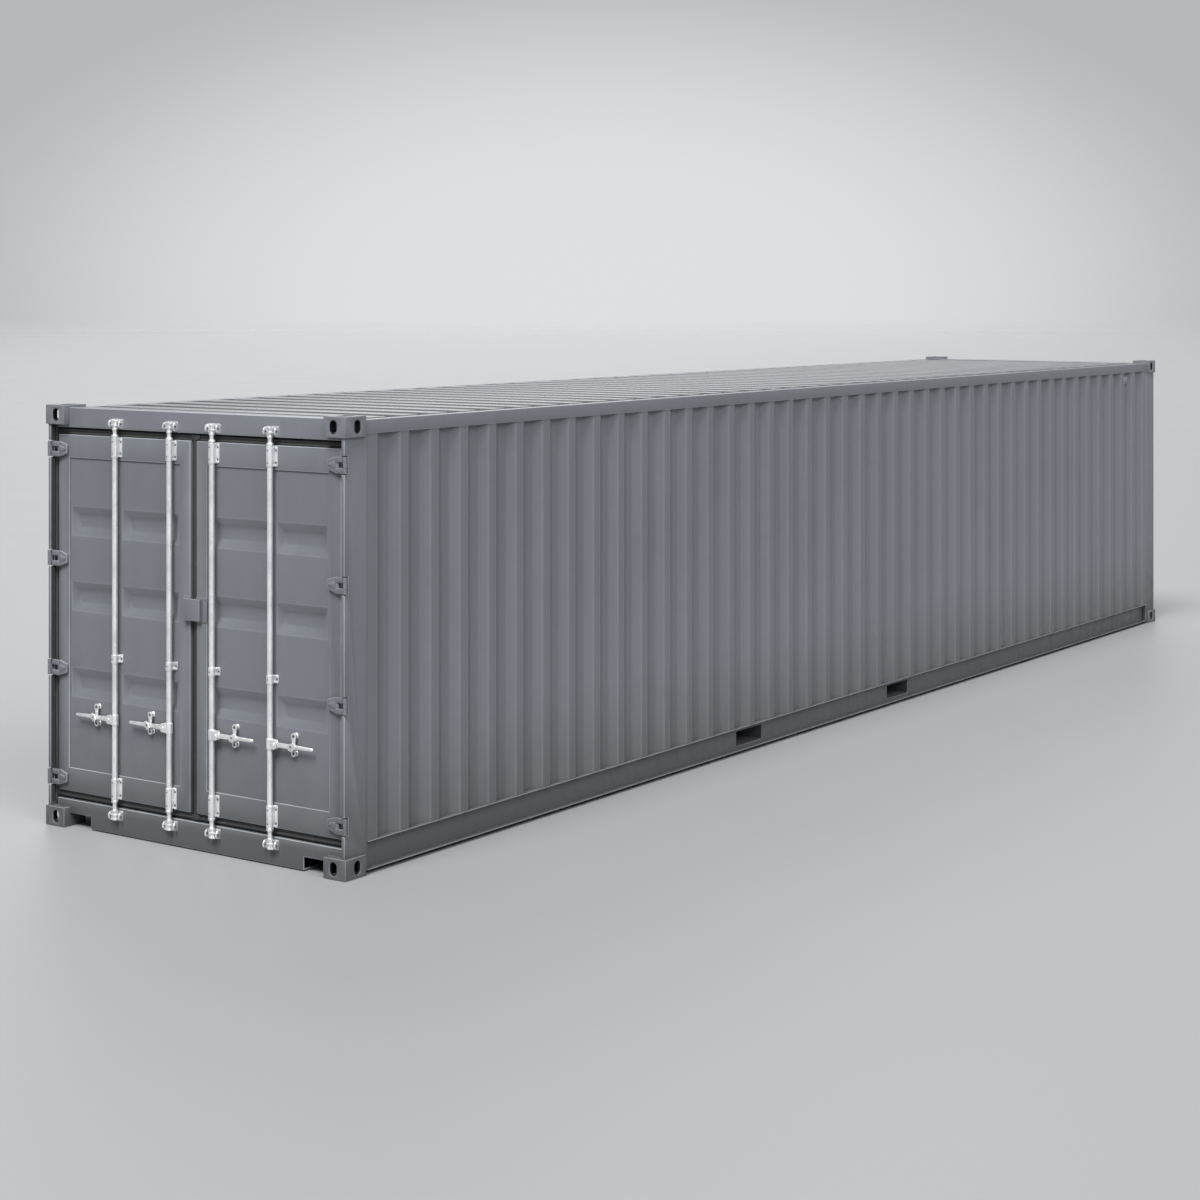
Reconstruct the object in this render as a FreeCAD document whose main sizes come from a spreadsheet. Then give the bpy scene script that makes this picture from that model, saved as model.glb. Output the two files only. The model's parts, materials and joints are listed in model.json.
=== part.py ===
import FreeCAD, Part
import Sketcher
import math
import os
from types import SimpleNamespace

# A dry freight container with two cargo doors, each with two lock rods and two lift-up handles.
# Frame: +Z up, X across, Y along, doors at the -Y end. Origin: centre of the footprint, on the ground.
# Everything on the +X side is modelled, and the -X side is its mirror image.

driving_sizes = {
    "overall_length": 12192,
    "overall_width": 2438,
    "overall_height": 2591,
    # corner fittings
    "fitting_length": 178,
    "fitting_width": 162,
    "fitting_height": 118,
    "fitting_wall": 18,
    "fitting_plate": 28,
    "lock_hole_length": 124.5,
    "lock_hole_width": 63.5,
    "lock_hole_from_end": 103.5,
    "lock_hole_from_side": 89.5,
    "face_hole_height": 80,
    "face_hole_width": 54,
    # corner posts: a thin outer leg, and behind it the seat that a door closes against
    "post_inset": 14,
    "post_setback": 8,
    "post_leg_width": 21,
    "rear_post_depth": 205,
    "seat_clearance": 10,
    "seat_width": 24,
    "post_wall": 6,
    "leg_solid_depth": 60,
    "front_post_depth": 215,
    "front_post_width": 110,
    # end frames
    "door_setback": 45,
    "header_lip": 19,
    "header_from_top": 14,
    "sill_bottom": 5,
    "sill_lip": 48,
    "sill_notch_width": 188,
    "sill_notch_top": 82,
    "beam_wall": 8,
    # side rails
    "top_rail_inset": 10,
    "top_rail_width": 60,
    "top_rail_over_post": 15,
    "top_rail_from_top": 23,
    "bottom_rail_inset": 8,
    "bottom_rail_bottom": 22,
    "bottom_rail_over_fitting": 68,
    "rail_wall": 5,
    # sheet panels
    "sheet": 2,
    "side_wave_depth": 36,
    "side_wave_pitch": 278,
    "side_wave_flat": 72,
    "front_wave_depth": 45,
    "front_wave_pitch": 250,
    "front_wave_flat": 104,
    "roof_sheet_drop": 16,
    "roof_rib_height": 22,
    "roof_rib_pitch": 209,
    "roof_rib_flat": 92,
    "roof_rib_slope": 26,
    "roof_rib_margin": 70,
    # floor
    "floor_from_rail_top": 3,
    "floor_thickness": 28,
    "cross_member_height": 122,
    "cross_member_flange": 45,
    "cross_member_pitch": 305,
    "fork_pocket_width": 355,
    "fork_pocket_height": 104,
    "fork_pocket_wall": 4,
    "fork_strap_length": 300,
    "first_pocket_from_doors": 4450,
    "fork_pocket_spacing": 2300,
    # doors
    "door_side_gap": 34,
    "door_gap_half": 27,
    "door_over_sill": 51,
    "door_under_header": 44,
    "door_thickness": 50,
    "hinge_stile": 92,
    "centre_stile": 83,
    "door_top_rail": 142,
    "door_bottom_rail": 146,
    "panel_recess": 8,
    "pressing_depth": 32,
    "pressing_height": 183,
    "pressing_slope": 52,
    "pressing_margin": 16,
    "low_row_part": 0.307,
    "middle_row_part": 0.5485,
    "high_row_part": 0.759,
    "gasket_set_in": 13,
    "gasket_thickness": 16,
    "gasket_clearance": 6,
    "centre_gasket_half": 17,
    # hinges
    "pin_from_side": 16,
    "pin_depth": 16,
    "pin_radius": 8,
    "knuckle_radius": 12,
    "hinge_height": 93,
    "hinge_from_bottom": 81,
    "hinge_from_top": 90,
    "hinge_notch_clearance": 6,
    "arm_behind_pin": 5,
    "arm_thickness": 12,
    "arm_clearance": 7,
    "blade_behind_pin": 11,
    "blade_edge": 6,
    "blade_shoulder": 26,
    "blade_reach": 114,
    "blade_tip_part": 0.6,
    # lock rods: their guides are a sleeve on a foot, their cams turn inside keepers
    "rod_radius": 17,
    "rod_standoff": 3,
    "rod_clearance": 0.4,
    "inner_rod_from_edge": 147,
    "outer_rod_from_middle": 44.5,
    "sleeve_wall": 4,
    "guide_foot_half": 40,
    "guide_foot_thickness": 5,
    "guide_neck_half": 10,
    "low_guide_height": 128,
    "middle_guide_height": 50,
    "high_guide_height": 119,
    "guide_from_door_edge": 4,
    "middle_guide_part": 0.389,
    "cam_height": 36,
    "cam_reach": 30,
    "cam_half": 11,
    "keeper_height": 60,
    "keeper_margin": 6,
    "keeper_over_header_edge": 6,
    "keeper_under_sill_top": 14,
    "keeper_foot": 3,
    "keeper_cheek": 10,
    "keeper_gap": 8,
    "keeper_front": 8,
    # handles: each is hung on a clevis beside its rod and rests on a catch
    "handle_part": 0.22161,
    "handle_length": 331,
    "handle_thickness": 14,
    "handle_from_rod": 11,
    "handle_half": 15,
    "clevis_plate": 6,
    "clevis_clearance": 1,
    "clevis_from_rod": 21,
    "clevis_end": 16,
    "clevis_half": 26,
    "collar_half": 31,
    "handle_pin_radius": 6,
    "catch_offset": 171,
    "catch_over_handle": 9,
    "catch_half": 12,
    "catch_lobe_radius": 19,
    "catch_lobe_rise": 50,
    "catch_plate": 8,
    "catch_gap": 6,
    "shelf_thickness": 7,
    # lock box
    "lock_box_part": 0.5483,
    "lock_backing_height": 147,
    "lock_backing_edge": 111,
    "lock_backing_thickness": 4,
    "lock_box_overhang": 21,
    "lock_hood_edge": 97,
    "lock_hood_front": 20,
    "lock_hood_rise": 13,
    "lock_hood_height": 118,
    "lock_hood_wall": 4,
    "lock_plate_edge": 76,
    "lock_plate_from_edge": 5,
    # vents
    "vent_from_front": 755,
    "vent_width": 104,
    "vent_height": 100,
    "vent_below_rail": 38,
    "vent_depth": 8,
}


class Size:
    """A number that also carries the formula that gives it from the sheet's cells."""

    def __init__(self, number, formula):
        self.number = float(number)
        self.formula = formula

    def joined(self, sign, other, number):
        return Size(number, f"({self.formula} {sign} {sized(other).formula})")

    def __add__(self, other):
        return self.joined("+", other, self.number + float(other))

    def __sub__(self, other):
        return self.joined("-", other, self.number - float(other))

    def __mul__(self, other):
        return self.joined("*", other, self.number * float(other))

    def __truediv__(self, other):
        return self.joined("/", other, self.number / float(other))

    def __radd__(self, other):
        return sized(other) + self

    def __rsub__(self, other):
        return sized(other) - self

    def __rmul__(self, other):
        return sized(other) * self

    def __neg__(self):
        return Size(-self.number, f"(0 - {self.formula})")

    def __float__(self):
        return self.number


def sized(value):
    return value if isinstance(value, Size) else Size(value, repr(float(value)))


doc = FreeCAD.newDocument("container")
sheet = doc.addObject("Spreadsheet::Sheet", "dims")
cells = {}
for row, (alias, value) in enumerate(driving_sizes.items(), start=1):
    sheet.set(f"A{row}", alias)
    sheet.set(f"B{row}", str(value))
    sheet.setAlias(f"B{row}", alias)
    cells[alias] = Size(value, f"dims.{alias}")
doc.recompute()
size = SimpleNamespace(**cells)

half_width = size.overall_width / 2
half_length = size.overall_length / 2


def rear(depth):
    """Y of a point this deep behind the door end's outer plane."""
    return depth - half_length


def front(depth):
    """Y of a point this deep behind the closed end's outer plane."""
    return half_length - depth


def inboard(inset):
    """X of a point this far inboard of the right side's outer plane."""
    return half_width - inset


fitting_inner = inboard(size.fitting_width)
post_outer = inboard(size.post_inset)
leg_inner = post_outer - size.post_leg_width
seat_inner = leg_inner - size.seat_width
post_bottom = size.fitting_height
post_top = size.overall_height - size.fitting_height
seat_depth = size.door_setback + size.door_thickness + size.seat_clearance

sill_top = post_bottom + size.sill_lip
header_bottom = post_top - size.header_lip
header_top = size.overall_height - size.header_from_top
top_rail_bottom = post_top + size.top_rail_over_post
top_rail_top = size.overall_height - size.top_rail_from_top
bottom_rail_top = post_bottom + size.bottom_rail_over_fitting
roof_sheet_bottom = top_rail_top - size.roof_sheet_drop
floor_top = bottom_rail_top - size.floor_from_rail_top
floor_bottom = floor_top - size.floor_thickness
fork_pocket_top = floor_bottom - size.fork_pocket_wall
fork_pocket_bottom = fork_pocket_top - size.fork_pocket_height

door_face = rear(size.door_setback)
door_back = rear(size.door_setback + size.door_thickness)
panel_depth = size.door_setback + size.panel_recess
door_outer = leg_inner - size.door_side_gap
door_bottom = sill_top + size.door_over_sill
door_top = header_bottom - size.door_under_header
door_height = door_top - door_bottom


def door_level(part):
    """Z of a point this share of the door's height up from its bottom edge."""
    return door_bottom + door_height * part


pin_x = inboard(size.pin_from_side)
pin_y = rear(size.pin_depth)
arm_front = size.pin_depth + size.arm_behind_pin
arm_back = arm_front + size.arm_thickness
hinge_notch_depth = arm_back + size.arm_clearance
hinge_pitch = (door_height - size.hinge_from_bottom - size.hinge_from_top) / 3
hinge_levels = [door_bottom + size.hinge_from_bottom + hinge_pitch * step for step in range(4)]

sleeve_radius = size.rod_radius + size.sleeve_wall
rod_depth = size.door_setback - size.rod_standoff - sleeve_radius
rod_y = rear(rod_depth)
rod_offsets = {
    "inner": size.door_gap_half + size.inner_rod_from_edge,
    "outer": (size.door_gap_half + door_outer) / 2 + size.outer_rod_from_middle,
}
header_keeper_bottom = header_bottom + size.keeper_over_header_edge
sill_keeper_bottom = sill_top - size.keeper_under_sill_top - size.keeper_height
rod_bottom = sill_keeper_bottom + size.keeper_margin
rod_top = header_keeper_bottom + size.keeper_height - size.keeper_margin
handle_level = door_level(size.handle_part)
handle_front = rod_depth - size.handle_from_rod
handle_back = handle_front + size.handle_thickness
hub_pin_offset = sleeve_radius + size.clevis_from_rod

sub_parts = []


def bind(item, field, value):
    item.setExpression(field, sized(value).formula)


def sub_part(label, item):
    item.Label = label
    sub_parts.append(item)
    return item


def box(name, x, y, z):
    item = doc.addObject("Part::Box", name)
    for side, axis, (low, high) in (("Length", "x", x), ("Width", "y", y), ("Height", "z", z)):
        bind(item, side, sized(high) - low)
        bind(item, f"Placement.Base.{axis}", low)
    return item


def cylinder(name, start, radius, length, axis="z"):
    """A cylinder that runs from its start point along +X, +Y or +Z."""
    item = doc.addObject("Part::Cylinder", name)
    directions = {"x": FreeCAD.Vector(1, 0, 0), "y": FreeCAD.Vector(0, 1, 0), "z": FreeCAD.Vector(0, 0, 1)}
    item.Placement = FreeCAD.Placement(
        FreeCAD.Vector(), FreeCAD.Rotation(FreeCAD.Vector(0, 0, 1), directions[axis])
    )
    bind(item, "Radius", radius)
    bind(item, "Height", length)
    for letter, value in zip("xyz", start):
        bind(item, f"Placement.Base.{letter}", value)
    return item


def fuse(name, items):
    item = doc.addObject("Part::MultiFuse", name)
    item.Shapes = items
    return item


def cut(name, base, tools):
    item = doc.addObject("Part::Cut", name)
    item.Base = base
    item.Tool = tools[0] if len(tools) == 1 else fuse(name + "_tools", tools)
    return item


def group(name, items):
    item = doc.addObject("Part::Compound", name)
    item.Links = items
    return item


def mirror(name, item, normal=(1, 0, 0)):
    image = doc.addObject("Part::Mirroring", name)
    image.Source = item
    image.Normal = FreeCAD.Vector(*normal)
    return image


def both_sides(label, item):
    """The right-hand sub-part and its mirror image on the left."""
    sub_part(f"{label}_right", item)
    sub_part(f"{label}_left", mirror(f"{label}_left", item))


def sketched(name, plane, outlines, start, end):
    """A padded sketch, drawn in the named plane and running from start to end along its normal."""
    body = doc.addObject("PartDesign::Body", name)
    sketch = body.newObject("Sketcher::SketchObject", f"{name}_sketch")
    base = next(item for item in body.Origin.OriginFeatures if item.Role == f"{plane}_Plane")
    sketch.AttachmentSupport = [(base, "")]
    sketch.MapMode = "FlatFace"
    for points in outlines:
        draw_outline(sketch, points)
    pad = body.newObject("PartDesign::Pad", f"{name}_pad")
    pad.Profile = sketch
    pad.Reversed = plane == "XZ"
    bind(pad, "Length", sized(end) - start)
    bind(body, f"Placement.Base.{dict(XY='z', XZ='y', YZ='x')[plane]}", start)
    return body


def draw_outline(sketch, points):
    count = len(points)
    first = sketch.GeometryCount
    corners = [FreeCAD.Vector(float(across), float(up), 0) for across, up in points]
    for index in range(count):
        sketch.addGeometry(Part.LineSegment(corners[index], corners[(index + 1) % count]), False)
    for index, (across, up) in enumerate(points):
        edge = first + index
        sketch.addConstraint(Sketcher.Constraint("Coincident", edge, 2, first + (index + 1) % count, 1))
        for kind, value in (("DistanceX", across), ("DistanceY", up)):
            rule = sketch.addConstraint(Sketcher.Constraint(kind, -1, 1, edge, 1, float(value)))
            sketch.setExpression(f"Constraints[{rule}]", sized(value).formula)


def shaped(name, shape):
    item = doc.addObject("Part::Feature", name)
    item.Shape = shape
    return item


def outline_face(points):
    corners = [FreeCAD.Vector(*point) for point in points]
    return Part.Face(Part.makePolygon(corners + corners[:1]))


# ---- corner fittings ----

def stadium(name, centre, length, width, depth, along, through):
    """A round-ended slot tool: its length runs along one axis and it passes through another."""
    straight = length - width
    spans = {}
    for axis, value in zip("xyz", centre):
        half = depth / 2 if axis == through else straight / 2 if axis == along else width / 2
        spans[axis] = (value - half, value + half)
    ends = []
    for sign in (-1, 1):
        start = dict(zip("xyz", centre))
        start[along] = start[along] + straight / 2 * sign
        start[through] = start[through] - depth / 2
        ends.append(cylinder(name, (start["x"], start["y"], start["z"]), width / 2, depth, through))
    return fuse(name, [box(name, spans["x"], spans["y"], spans["z"])] + ends)


def corner_fitting(name, low, lock_hole_level):
    """One hollow casting at the right rear corner, with a hole in its end, side and horizontal face."""
    high = low + size.fitting_height
    middle = (low + high) / 2
    hole_x = inboard(size.lock_hole_from_side)
    hole_y = rear(size.lock_hole_from_end)
    shell = box(name, (fitting_inner, half_width), (rear(0), rear(size.fitting_length)), (low, high))
    cavity = box(
        name,
        (fitting_inner + size.fitting_wall, half_width - size.fitting_wall),
        (rear(size.fitting_wall), rear(size.fitting_length - size.fitting_wall / 2)),
        (low + size.fitting_plate, high - size.fitting_plate),
    )
    deep = size.fitting_plate * 2.4
    lock_hole = stadium(
        name, (hole_x, hole_y, lock_hole_level), size.lock_hole_length, size.lock_hole_width, deep, "y", "z"
    )
    end_hole = stadium(
        name, (hole_x, rear(0), middle), size.face_hole_height, size.face_hole_width, deep, "z", "y"
    )
    side_hole = stadium(
        name, (half_width, hole_y, middle), size.face_hole_height, size.face_hole_width, deep, "z", "x"
    )
    return cut(name, shell, [cavity, lock_hole, end_hole, side_hole])


def four_corners(label, fitting):
    pair = group(f"{label}_rear", [fitting, mirror(f"{label}_left", fitting)])
    sub_part(label, group(label, [pair, mirror(f"{label}_front", pair, (0, 1, 0))]))


four_corners("corner_fittings_bottom", corner_fitting("bottom_fitting", sized(0), sized(0)))
four_corners("corner_fittings_top", corner_fitting("top_fitting", post_top, size.overall_height))


# ---- corner posts ----

def rear_post():
    """An L-shaped tube whose front leg is notched at each hinge, with a tail above and below it."""
    wall = size.post_wall
    front_y = rear(size.post_setback)
    seat_y = rear(seat_depth)
    back_y = rear(size.rear_post_depth)
    outline = [
        (post_outer, front_y),
        (post_outer, back_y),
        (seat_inner, back_y),
        (seat_inner, seat_y),
        (leg_inner, seat_y),
        (leg_inner, front_y),
    ]
    hollow = [
        (post_outer - wall, rear(size.leg_solid_depth)),
        (post_outer - wall, back_y - wall),
        (seat_inner + wall, back_y - wall),
        (seat_inner + wall, seat_y + wall),
        (leg_inner + wall, seat_y + wall),
        (leg_inner + wall, rear(size.leg_solid_depth)),
    ]
    tube = sketched("rear_post_tube", "XY", [outline, hollow], post_bottom, post_top)
    tail_y = (rear(size.fitting_length), back_y)
    foot = box("rear_post_foot", (seat_inner, post_outer), tail_y, (size.bottom_rail_bottom, post_bottom))
    cap = box("rear_post_cap", (seat_inner, post_outer), tail_y, (post_top, top_rail_bottom))
    reach = size.hinge_height / 2 + size.hinge_notch_clearance
    notches = [
        box(
            "hinge_notch",
            (leg_inner - 1, post_outer + 1),
            (front_y - 1, rear(hinge_notch_depth)),
            (level - reach, level + reach),
        )
        for level in hinge_levels
    ]
    return cut("rear_post", fuse("rear_post_blank", [tube, foot, cap]), notches)


def front_post():
    wall = size.post_wall
    inner = post_outer - size.front_post_width
    near = front(size.front_post_depth)
    far = front(size.post_setback)
    outline = [(inner, near), (post_outer, near), (post_outer, far), (inner, far)]
    hollow = [
        (inner + wall, near + wall),
        (post_outer - wall, near + wall),
        (post_outer - wall, far - wall),
        (inner + wall, far - wall),
    ]
    tube = sketched("front_post_tube", "XY", [outline, hollow], post_bottom, post_top)
    tail_y = (near, front(size.fitting_length))
    foot = box("front_post_foot", (seat_inner, post_outer), tail_y, (size.bottom_rail_bottom, post_bottom))
    cap = box("front_post_cap", (seat_inner, post_outer), tail_y, (post_top, top_rail_bottom))
    return fuse("front_post", [tube, foot, cap])


both_sides("rear_post", rear_post())
both_sides("front_post", front_post())


# ---- end frames ----

def full_width(name, reach, y, z):
    return box(name, (-reach, reach), y, z)


def door_header():
    """A box beam between the top fittings, with a lip that carries on to the posts."""
    depth = (door_face, rear(size.fitting_length))
    beam = full_width("header_beam", fitting_inner, depth, (header_bottom, header_top))
    lip = full_width("header_lip", seat_inner, depth, (header_bottom, post_top))
    wall = size.beam_wall
    hollow = full_width(
        "header_hollow",
        fitting_inner,
        (door_face + wall, rear(size.fitting_length) - wall),
        (post_top, header_top - wall),
    )
    return cut("door_header", fuse("header_blank", [beam, lip]), [hollow])


def door_sill():
    """A channel that opens to the back, notched beside the bottom fittings."""
    depth = (door_face, rear(size.fitting_length))
    beam = full_width("sill_beam", fitting_inner, depth, (size.sill_bottom, sill_top))
    lip = full_width("sill_lip", seat_inner, depth, (post_bottom, sill_top))
    wall = size.beam_wall
    hollow = full_width(
        "sill_hollow",
        fitting_inner - size.sill_notch_width,
        (door_face + wall, rear(size.fitting_length) + 1),
        (size.sill_bottom + wall, sill_top - wall),
    )
    notches = []
    for sign in (-1, 1):
        ends = [fitting_inner * sign, (fitting_inner - size.sill_notch_width) * sign]
        span = tuple(sorted(ends, key=float))
        notches.append(
            box(
                "sill_notch",
                span,
                (door_face - 1, rear(size.fitting_length) + 1),
                (size.sill_bottom - 1, size.sill_notch_top),
            )
        )
    return cut("door_sill", fuse("sill_blank", [beam, lip]), [hollow] + notches)


def front_top_rail():
    depth = front(size.top_rail_inset)
    tube = full_width(
        "front_rail_tube",
        fitting_inner,
        (depth - size.top_rail_width, depth),
        (post_top, top_rail_top),
    )
    plate = full_width(
        "front_rail_plate",
        fitting_inner,
        (front(size.fitting_length), depth),
        (roof_sheet_bottom, top_rail_top),
    )
    return fuse("front_top_rail", [tube, plate])


def front_sill():
    depth = (front(size.fitting_length), front(size.top_rail_inset))
    beam = full_width("front_sill_beam", fitting_inner, depth, (size.bottom_rail_bottom, bottom_rail_top))
    hollow = full_width(
        "front_sill_hollow",
        fitting_inner + 1,
        (front(size.fitting_length) - 1, front(size.top_rail_inset) - size.beam_wall),
        (size.bottom_rail_bottom + size.beam_wall, bottom_rail_top - size.beam_wall),
    )
    return cut("front_sill", beam, [hollow])


sub_part("door_header", door_header())
sub_part("door_sill", door_sill())
sub_part("front_top_rail", front_top_rail())
sub_part("front_sill", front_sill())


# ---- side rails ----

def top_side_rail():
    outer = inboard(size.top_rail_inset)
    inner = outer - size.top_rail_width
    wall = size.rail_wall
    low, high = top_rail_bottom, top_rail_top
    outline = [(inner, low), (outer, low), (outer, high), (inner, high)]
    hollow = [
        (inner + wall, low + wall),
        (outer - wall, low + wall),
        (outer - wall, high - wall),
        (inner + wall, high - wall),
    ]
    ends = (rear(size.fitting_length), front(size.fitting_length))
    return sketched("top_side_rail", "XZ", [outline, hollow], *ends)


def pocket_centres():
    first = rear(size.first_pocket_from_doors)
    return [first, first + size.fork_pocket_spacing]


def bottom_side_rail():
    """An outward-opening channel with a window in its web at each forklift pocket."""
    outer = inboard(size.bottom_rail_inset)
    wall = size.rail_wall
    low, high = size.bottom_rail_bottom, bottom_rail_top
    outline = [
        (seat_inner, low),
        (outer, low),
        (outer, low + wall),
        (seat_inner + wall, low + wall),
        (seat_inner + wall, high - wall),
        (outer, high - wall),
        (outer, high),
        (seat_inner, high),
    ]
    ends = (rear(size.rear_post_depth), front(size.front_post_depth))
    channel = sketched("bottom_rail_channel", "XZ", [outline], *ends)
    windows = [
        box(
            "pocket_window",
            (seat_inner - 1, seat_inner + wall + 1),
            (centre - size.fork_pocket_width / 2, centre + size.fork_pocket_width / 2),
            (fork_pocket_bottom, fork_pocket_top),
        )
        for centre in pocket_centres()
    ]
    return cut("bottom_side_rail", channel, windows)


both_sides("top_side_rail", top_side_rail())
both_sides("bottom_side_rail", bottom_side_rail())


# ---- corrugated walls ----

def wave_points(start, end, pitch, flat):
    """Stations along a wall and whether each is on the crest (1) or in the valley (0)."""
    count = max(1, int((end - start - flat) / pitch))
    slope = pitch / 2 - flat
    along = (start + end - count * pitch) / 2
    points = [(start, 1)]
    for _ in range(count):
        points += [(along + flat / 2, 1), (along + flat / 2 + slope, 0)]
        points += [(along + flat * 1.5 + slope, 0), (along + flat * 1.5 + 2 * slope, 1)]
        along += pitch
    return points + [(end, 1)]


def side_panel():
    crest = float(post_outer)
    depth = float(size.side_wave_depth) - float(size.sheet)
    stations = wave_points(
        float(rear(size.rear_post_depth)),
        float(front(size.front_post_depth)),
        float(size.side_wave_pitch),
        float(size.side_wave_flat),
    )
    low = float(bottom_rail_top)
    outside = [(crest - depth * (1 - high), along, low) for along, high in stations]
    inside = [(x - float(size.sheet), y, z) for x, y, z in reversed(outside)]
    height = float(top_rail_bottom - bottom_rail_top)
    return shaped("side_panel", outline_face(outside + inside).extrude(FreeCAD.Vector(0, 0, height)))


def front_panel():
    crest = float(front(size.post_inset))
    depth = float(size.front_wave_depth) - float(size.sheet)
    edge = float(post_outer - size.front_post_width)
    stations = wave_points(-edge, edge, float(size.front_wave_pitch), float(size.front_wave_flat))
    low = float(bottom_rail_top)
    outside = [(along, crest - depth * (1 - high), low) for along, high in stations]
    inside = [(x, y - float(size.sheet), z) for x, y, z in reversed(outside)]
    height = float(post_top - bottom_rail_top)
    return shaped("front_panel", outline_face(outside + inside).extrude(FreeCAD.Vector(0, 0, height)))


both_sides("side_panel", side_panel())
sub_part("front_panel", front_panel())


# ---- roof ----

def frustum(base, top):
    """A solid between two rectangles, each given by its four corner points."""
    wires = [Part.makePolygon([FreeCAD.Vector(*point) for point in ring + ring[:1]]) for ring in (base, top)]
    return Part.makeLoft(wires, True, True)


def level_ring(half_x, low_y, high_y, z):
    return [(-half_x, low_y, z), (half_x, low_y, z), (half_x, high_y, z), (-half_x, high_y, z)]


def roof_rib(centre, half_x, grow, lift):
    half_flat = float(size.roof_rib_flat) / 2
    slope = float(size.roof_rib_slope)
    low = float(roof_sheet_bottom) + lift
    base = level_ring(half_x + grow, centre - half_flat - slope - grow, centre + half_flat + slope + grow, low)
    top = level_ring(
        half_x - slope + grow,
        centre - half_flat - grow,
        centre + half_flat + grow,
        low + float(size.roof_rib_height),
    )
    return frustum(base, top)


def roof_panel():
    """A thin sheet between the top rails, pressed up into ribs that stop short of both rails."""
    sheet_thickness = float(size.sheet)
    edge = float(inboard(size.top_rail_inset + size.top_rail_width))
    start = float(rear(size.fitting_length))
    end = float(front(size.fitting_length))
    pitch = float(size.roof_rib_pitch)
    margin = float(size.roof_rib_margin)
    count = int((end - start - 2 * margin) / pitch)
    first = (start + end - (count - 1) * pitch) / 2
    centres = [first + step * pitch for step in range(count)]
    half_x = edge - margin
    plate = Part.makeBox(
        2 * edge, end - start, sheet_thickness, FreeCAD.Vector(-edge, start, float(roof_sheet_bottom))
    )
    grow = sheet_thickness / 2
    ribs = [roof_rib(centre, half_x, grow, sheet_thickness) for centre in centres]
    hollows = [roof_rib(centre, half_x, -grow, -0.01) for centre in centres]
    return shaped("roof_panel", plate.fuse(ribs).cut(hollows))


sub_part("roof_panel", roof_panel())


# ---- floor ----

def floor_boards():
    """One deck from sill to sill, notched round the front posts."""
    ends = (rear(size.fitting_length), front(size.fitting_length))
    deck = full_width("floor_deck", seat_inner, ends, (floor_bottom, floor_top))
    post_inner = post_outer - size.front_post_width
    notches = [
        box(
            "floor_notch",
            span,
            (front(size.front_post_depth), front(size.fitting_length) + 1),
            (floor_bottom - 1, floor_top + 1),
        )
        for span in ((post_inner, seat_inner + 1), (-seat_inner - 1, -post_inner))
    ]
    return cut("floor", deck, notches)


def fork_pocket(centre):
    """A tunnel right through the base, with a strap under each mouth and an open middle."""
    wall = size.fork_pocket_wall
    half = size.fork_pocket_width / 2
    low = fork_pocket_bottom - wall
    mouth = seat_inner - size.fork_strap_length
    sleeve = full_width(
        "pocket_sleeve", seat_inner, (centre - half - wall, centre + half + wall), (low, floor_bottom)
    )
    tunnel = full_width(
        "pocket_tunnel",
        seat_inner + 1,
        (centre - half, centre + half),
        (fork_pocket_bottom, fork_pocket_top),
    )
    middle = full_width(
        "pocket_middle", mouth, (centre - half, centre + half), (low - 1, fork_pocket_bottom + 1)
    )
    return cut("fork_pocket", sleeve, [tunnel, middle])


def cross_member_stations():
    """Y of each cross member, evenly spread over the three bays that the forklift pockets leave."""
    reach = float(size.fork_pocket_width / 2 + size.fork_pocket_wall)
    pockets = [float(centre) for centre in pocket_centres()]
    bays = [
        (float(rear(size.fitting_length)), pockets[0] - reach),
        (pockets[0] + reach, pockets[1] - reach),
        (pockets[1] + reach, float(front(size.fitting_length))),
    ]
    stations = []
    for start, end in bays:
        gaps = math.ceil((end - start) / float(size.cross_member_pitch))
        stations += [start + (end - start) * step / gaps for step in range(1, gaps)]
    return stations


def cross_members():
    reach = float(seat_inner)
    web = float(size.fork_pocket_wall)
    flange = float(size.cross_member_flange)
    high = float(floor_bottom)
    low = high - float(size.cross_member_height)
    channels = []
    for station in cross_member_stations():
        near = station - flange / 2
        far = station + flange / 2
        outline = [
            (-reach, near, low),
            (-reach, far, low),
            (-reach, far, low + web),
            (-reach, near + web, low + web),
            (-reach, near + web, high - web),
            (-reach, far, high - web),
            (-reach, far, high),
            (-reach, near, high),
        ]
        channels.append(outline_face(outline).extrude(FreeCAD.Vector(2 * reach, 0, 0)))
    return shaped("cross_members", Part.makeCompound(channels))


sub_part("floor", floor_boards())
sub_part("cross_members", cross_members())
sub_part("forklift_pockets", group("forklift_pockets", [fork_pocket(centre) for centre in pocket_centres()]))


# ---- vents ----

def vent():
    """A shallow weather hood high on the side wall, near the closed end."""
    high = top_rail_bottom - size.vent_below_rail
    half = size.vent_width / 2
    return box(
        "vent",
        (post_outer, post_outer + size.vent_depth),
        (front(size.vent_from_front + half), front(size.vent_from_front - half)),
        (high - size.vent_height, high),
    )


right_vent = vent()
sub_part("vents", group("vents", [right_vent, mirror("vent_left", right_vent)]))


# ---- hinges ----

lug_half = size.hinge_height / 6


def hinge_mount(level):
    """The fixed middle knuckle with its web to the post, and the pin through it."""
    half = size.hinge_height / 2
    lug = (level - lug_half, level + lug_half)
    knuckle = cylinder("lug_knuckle", (pin_x, pin_y, lug[0]), size.knuckle_radius, lug_half * 2)
    web = box(
        "lug_web", (post_outer - size.post_leg_width / 1.4, post_outer), (pin_y, rear(hinge_notch_depth)), lug
    )
    pin = cylinder("hinge_pin", (pin_x, pin_y, level - half), size.pin_radius, half * 2)
    return fuse("hinge_mount", [knuckle, web, pin])


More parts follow.
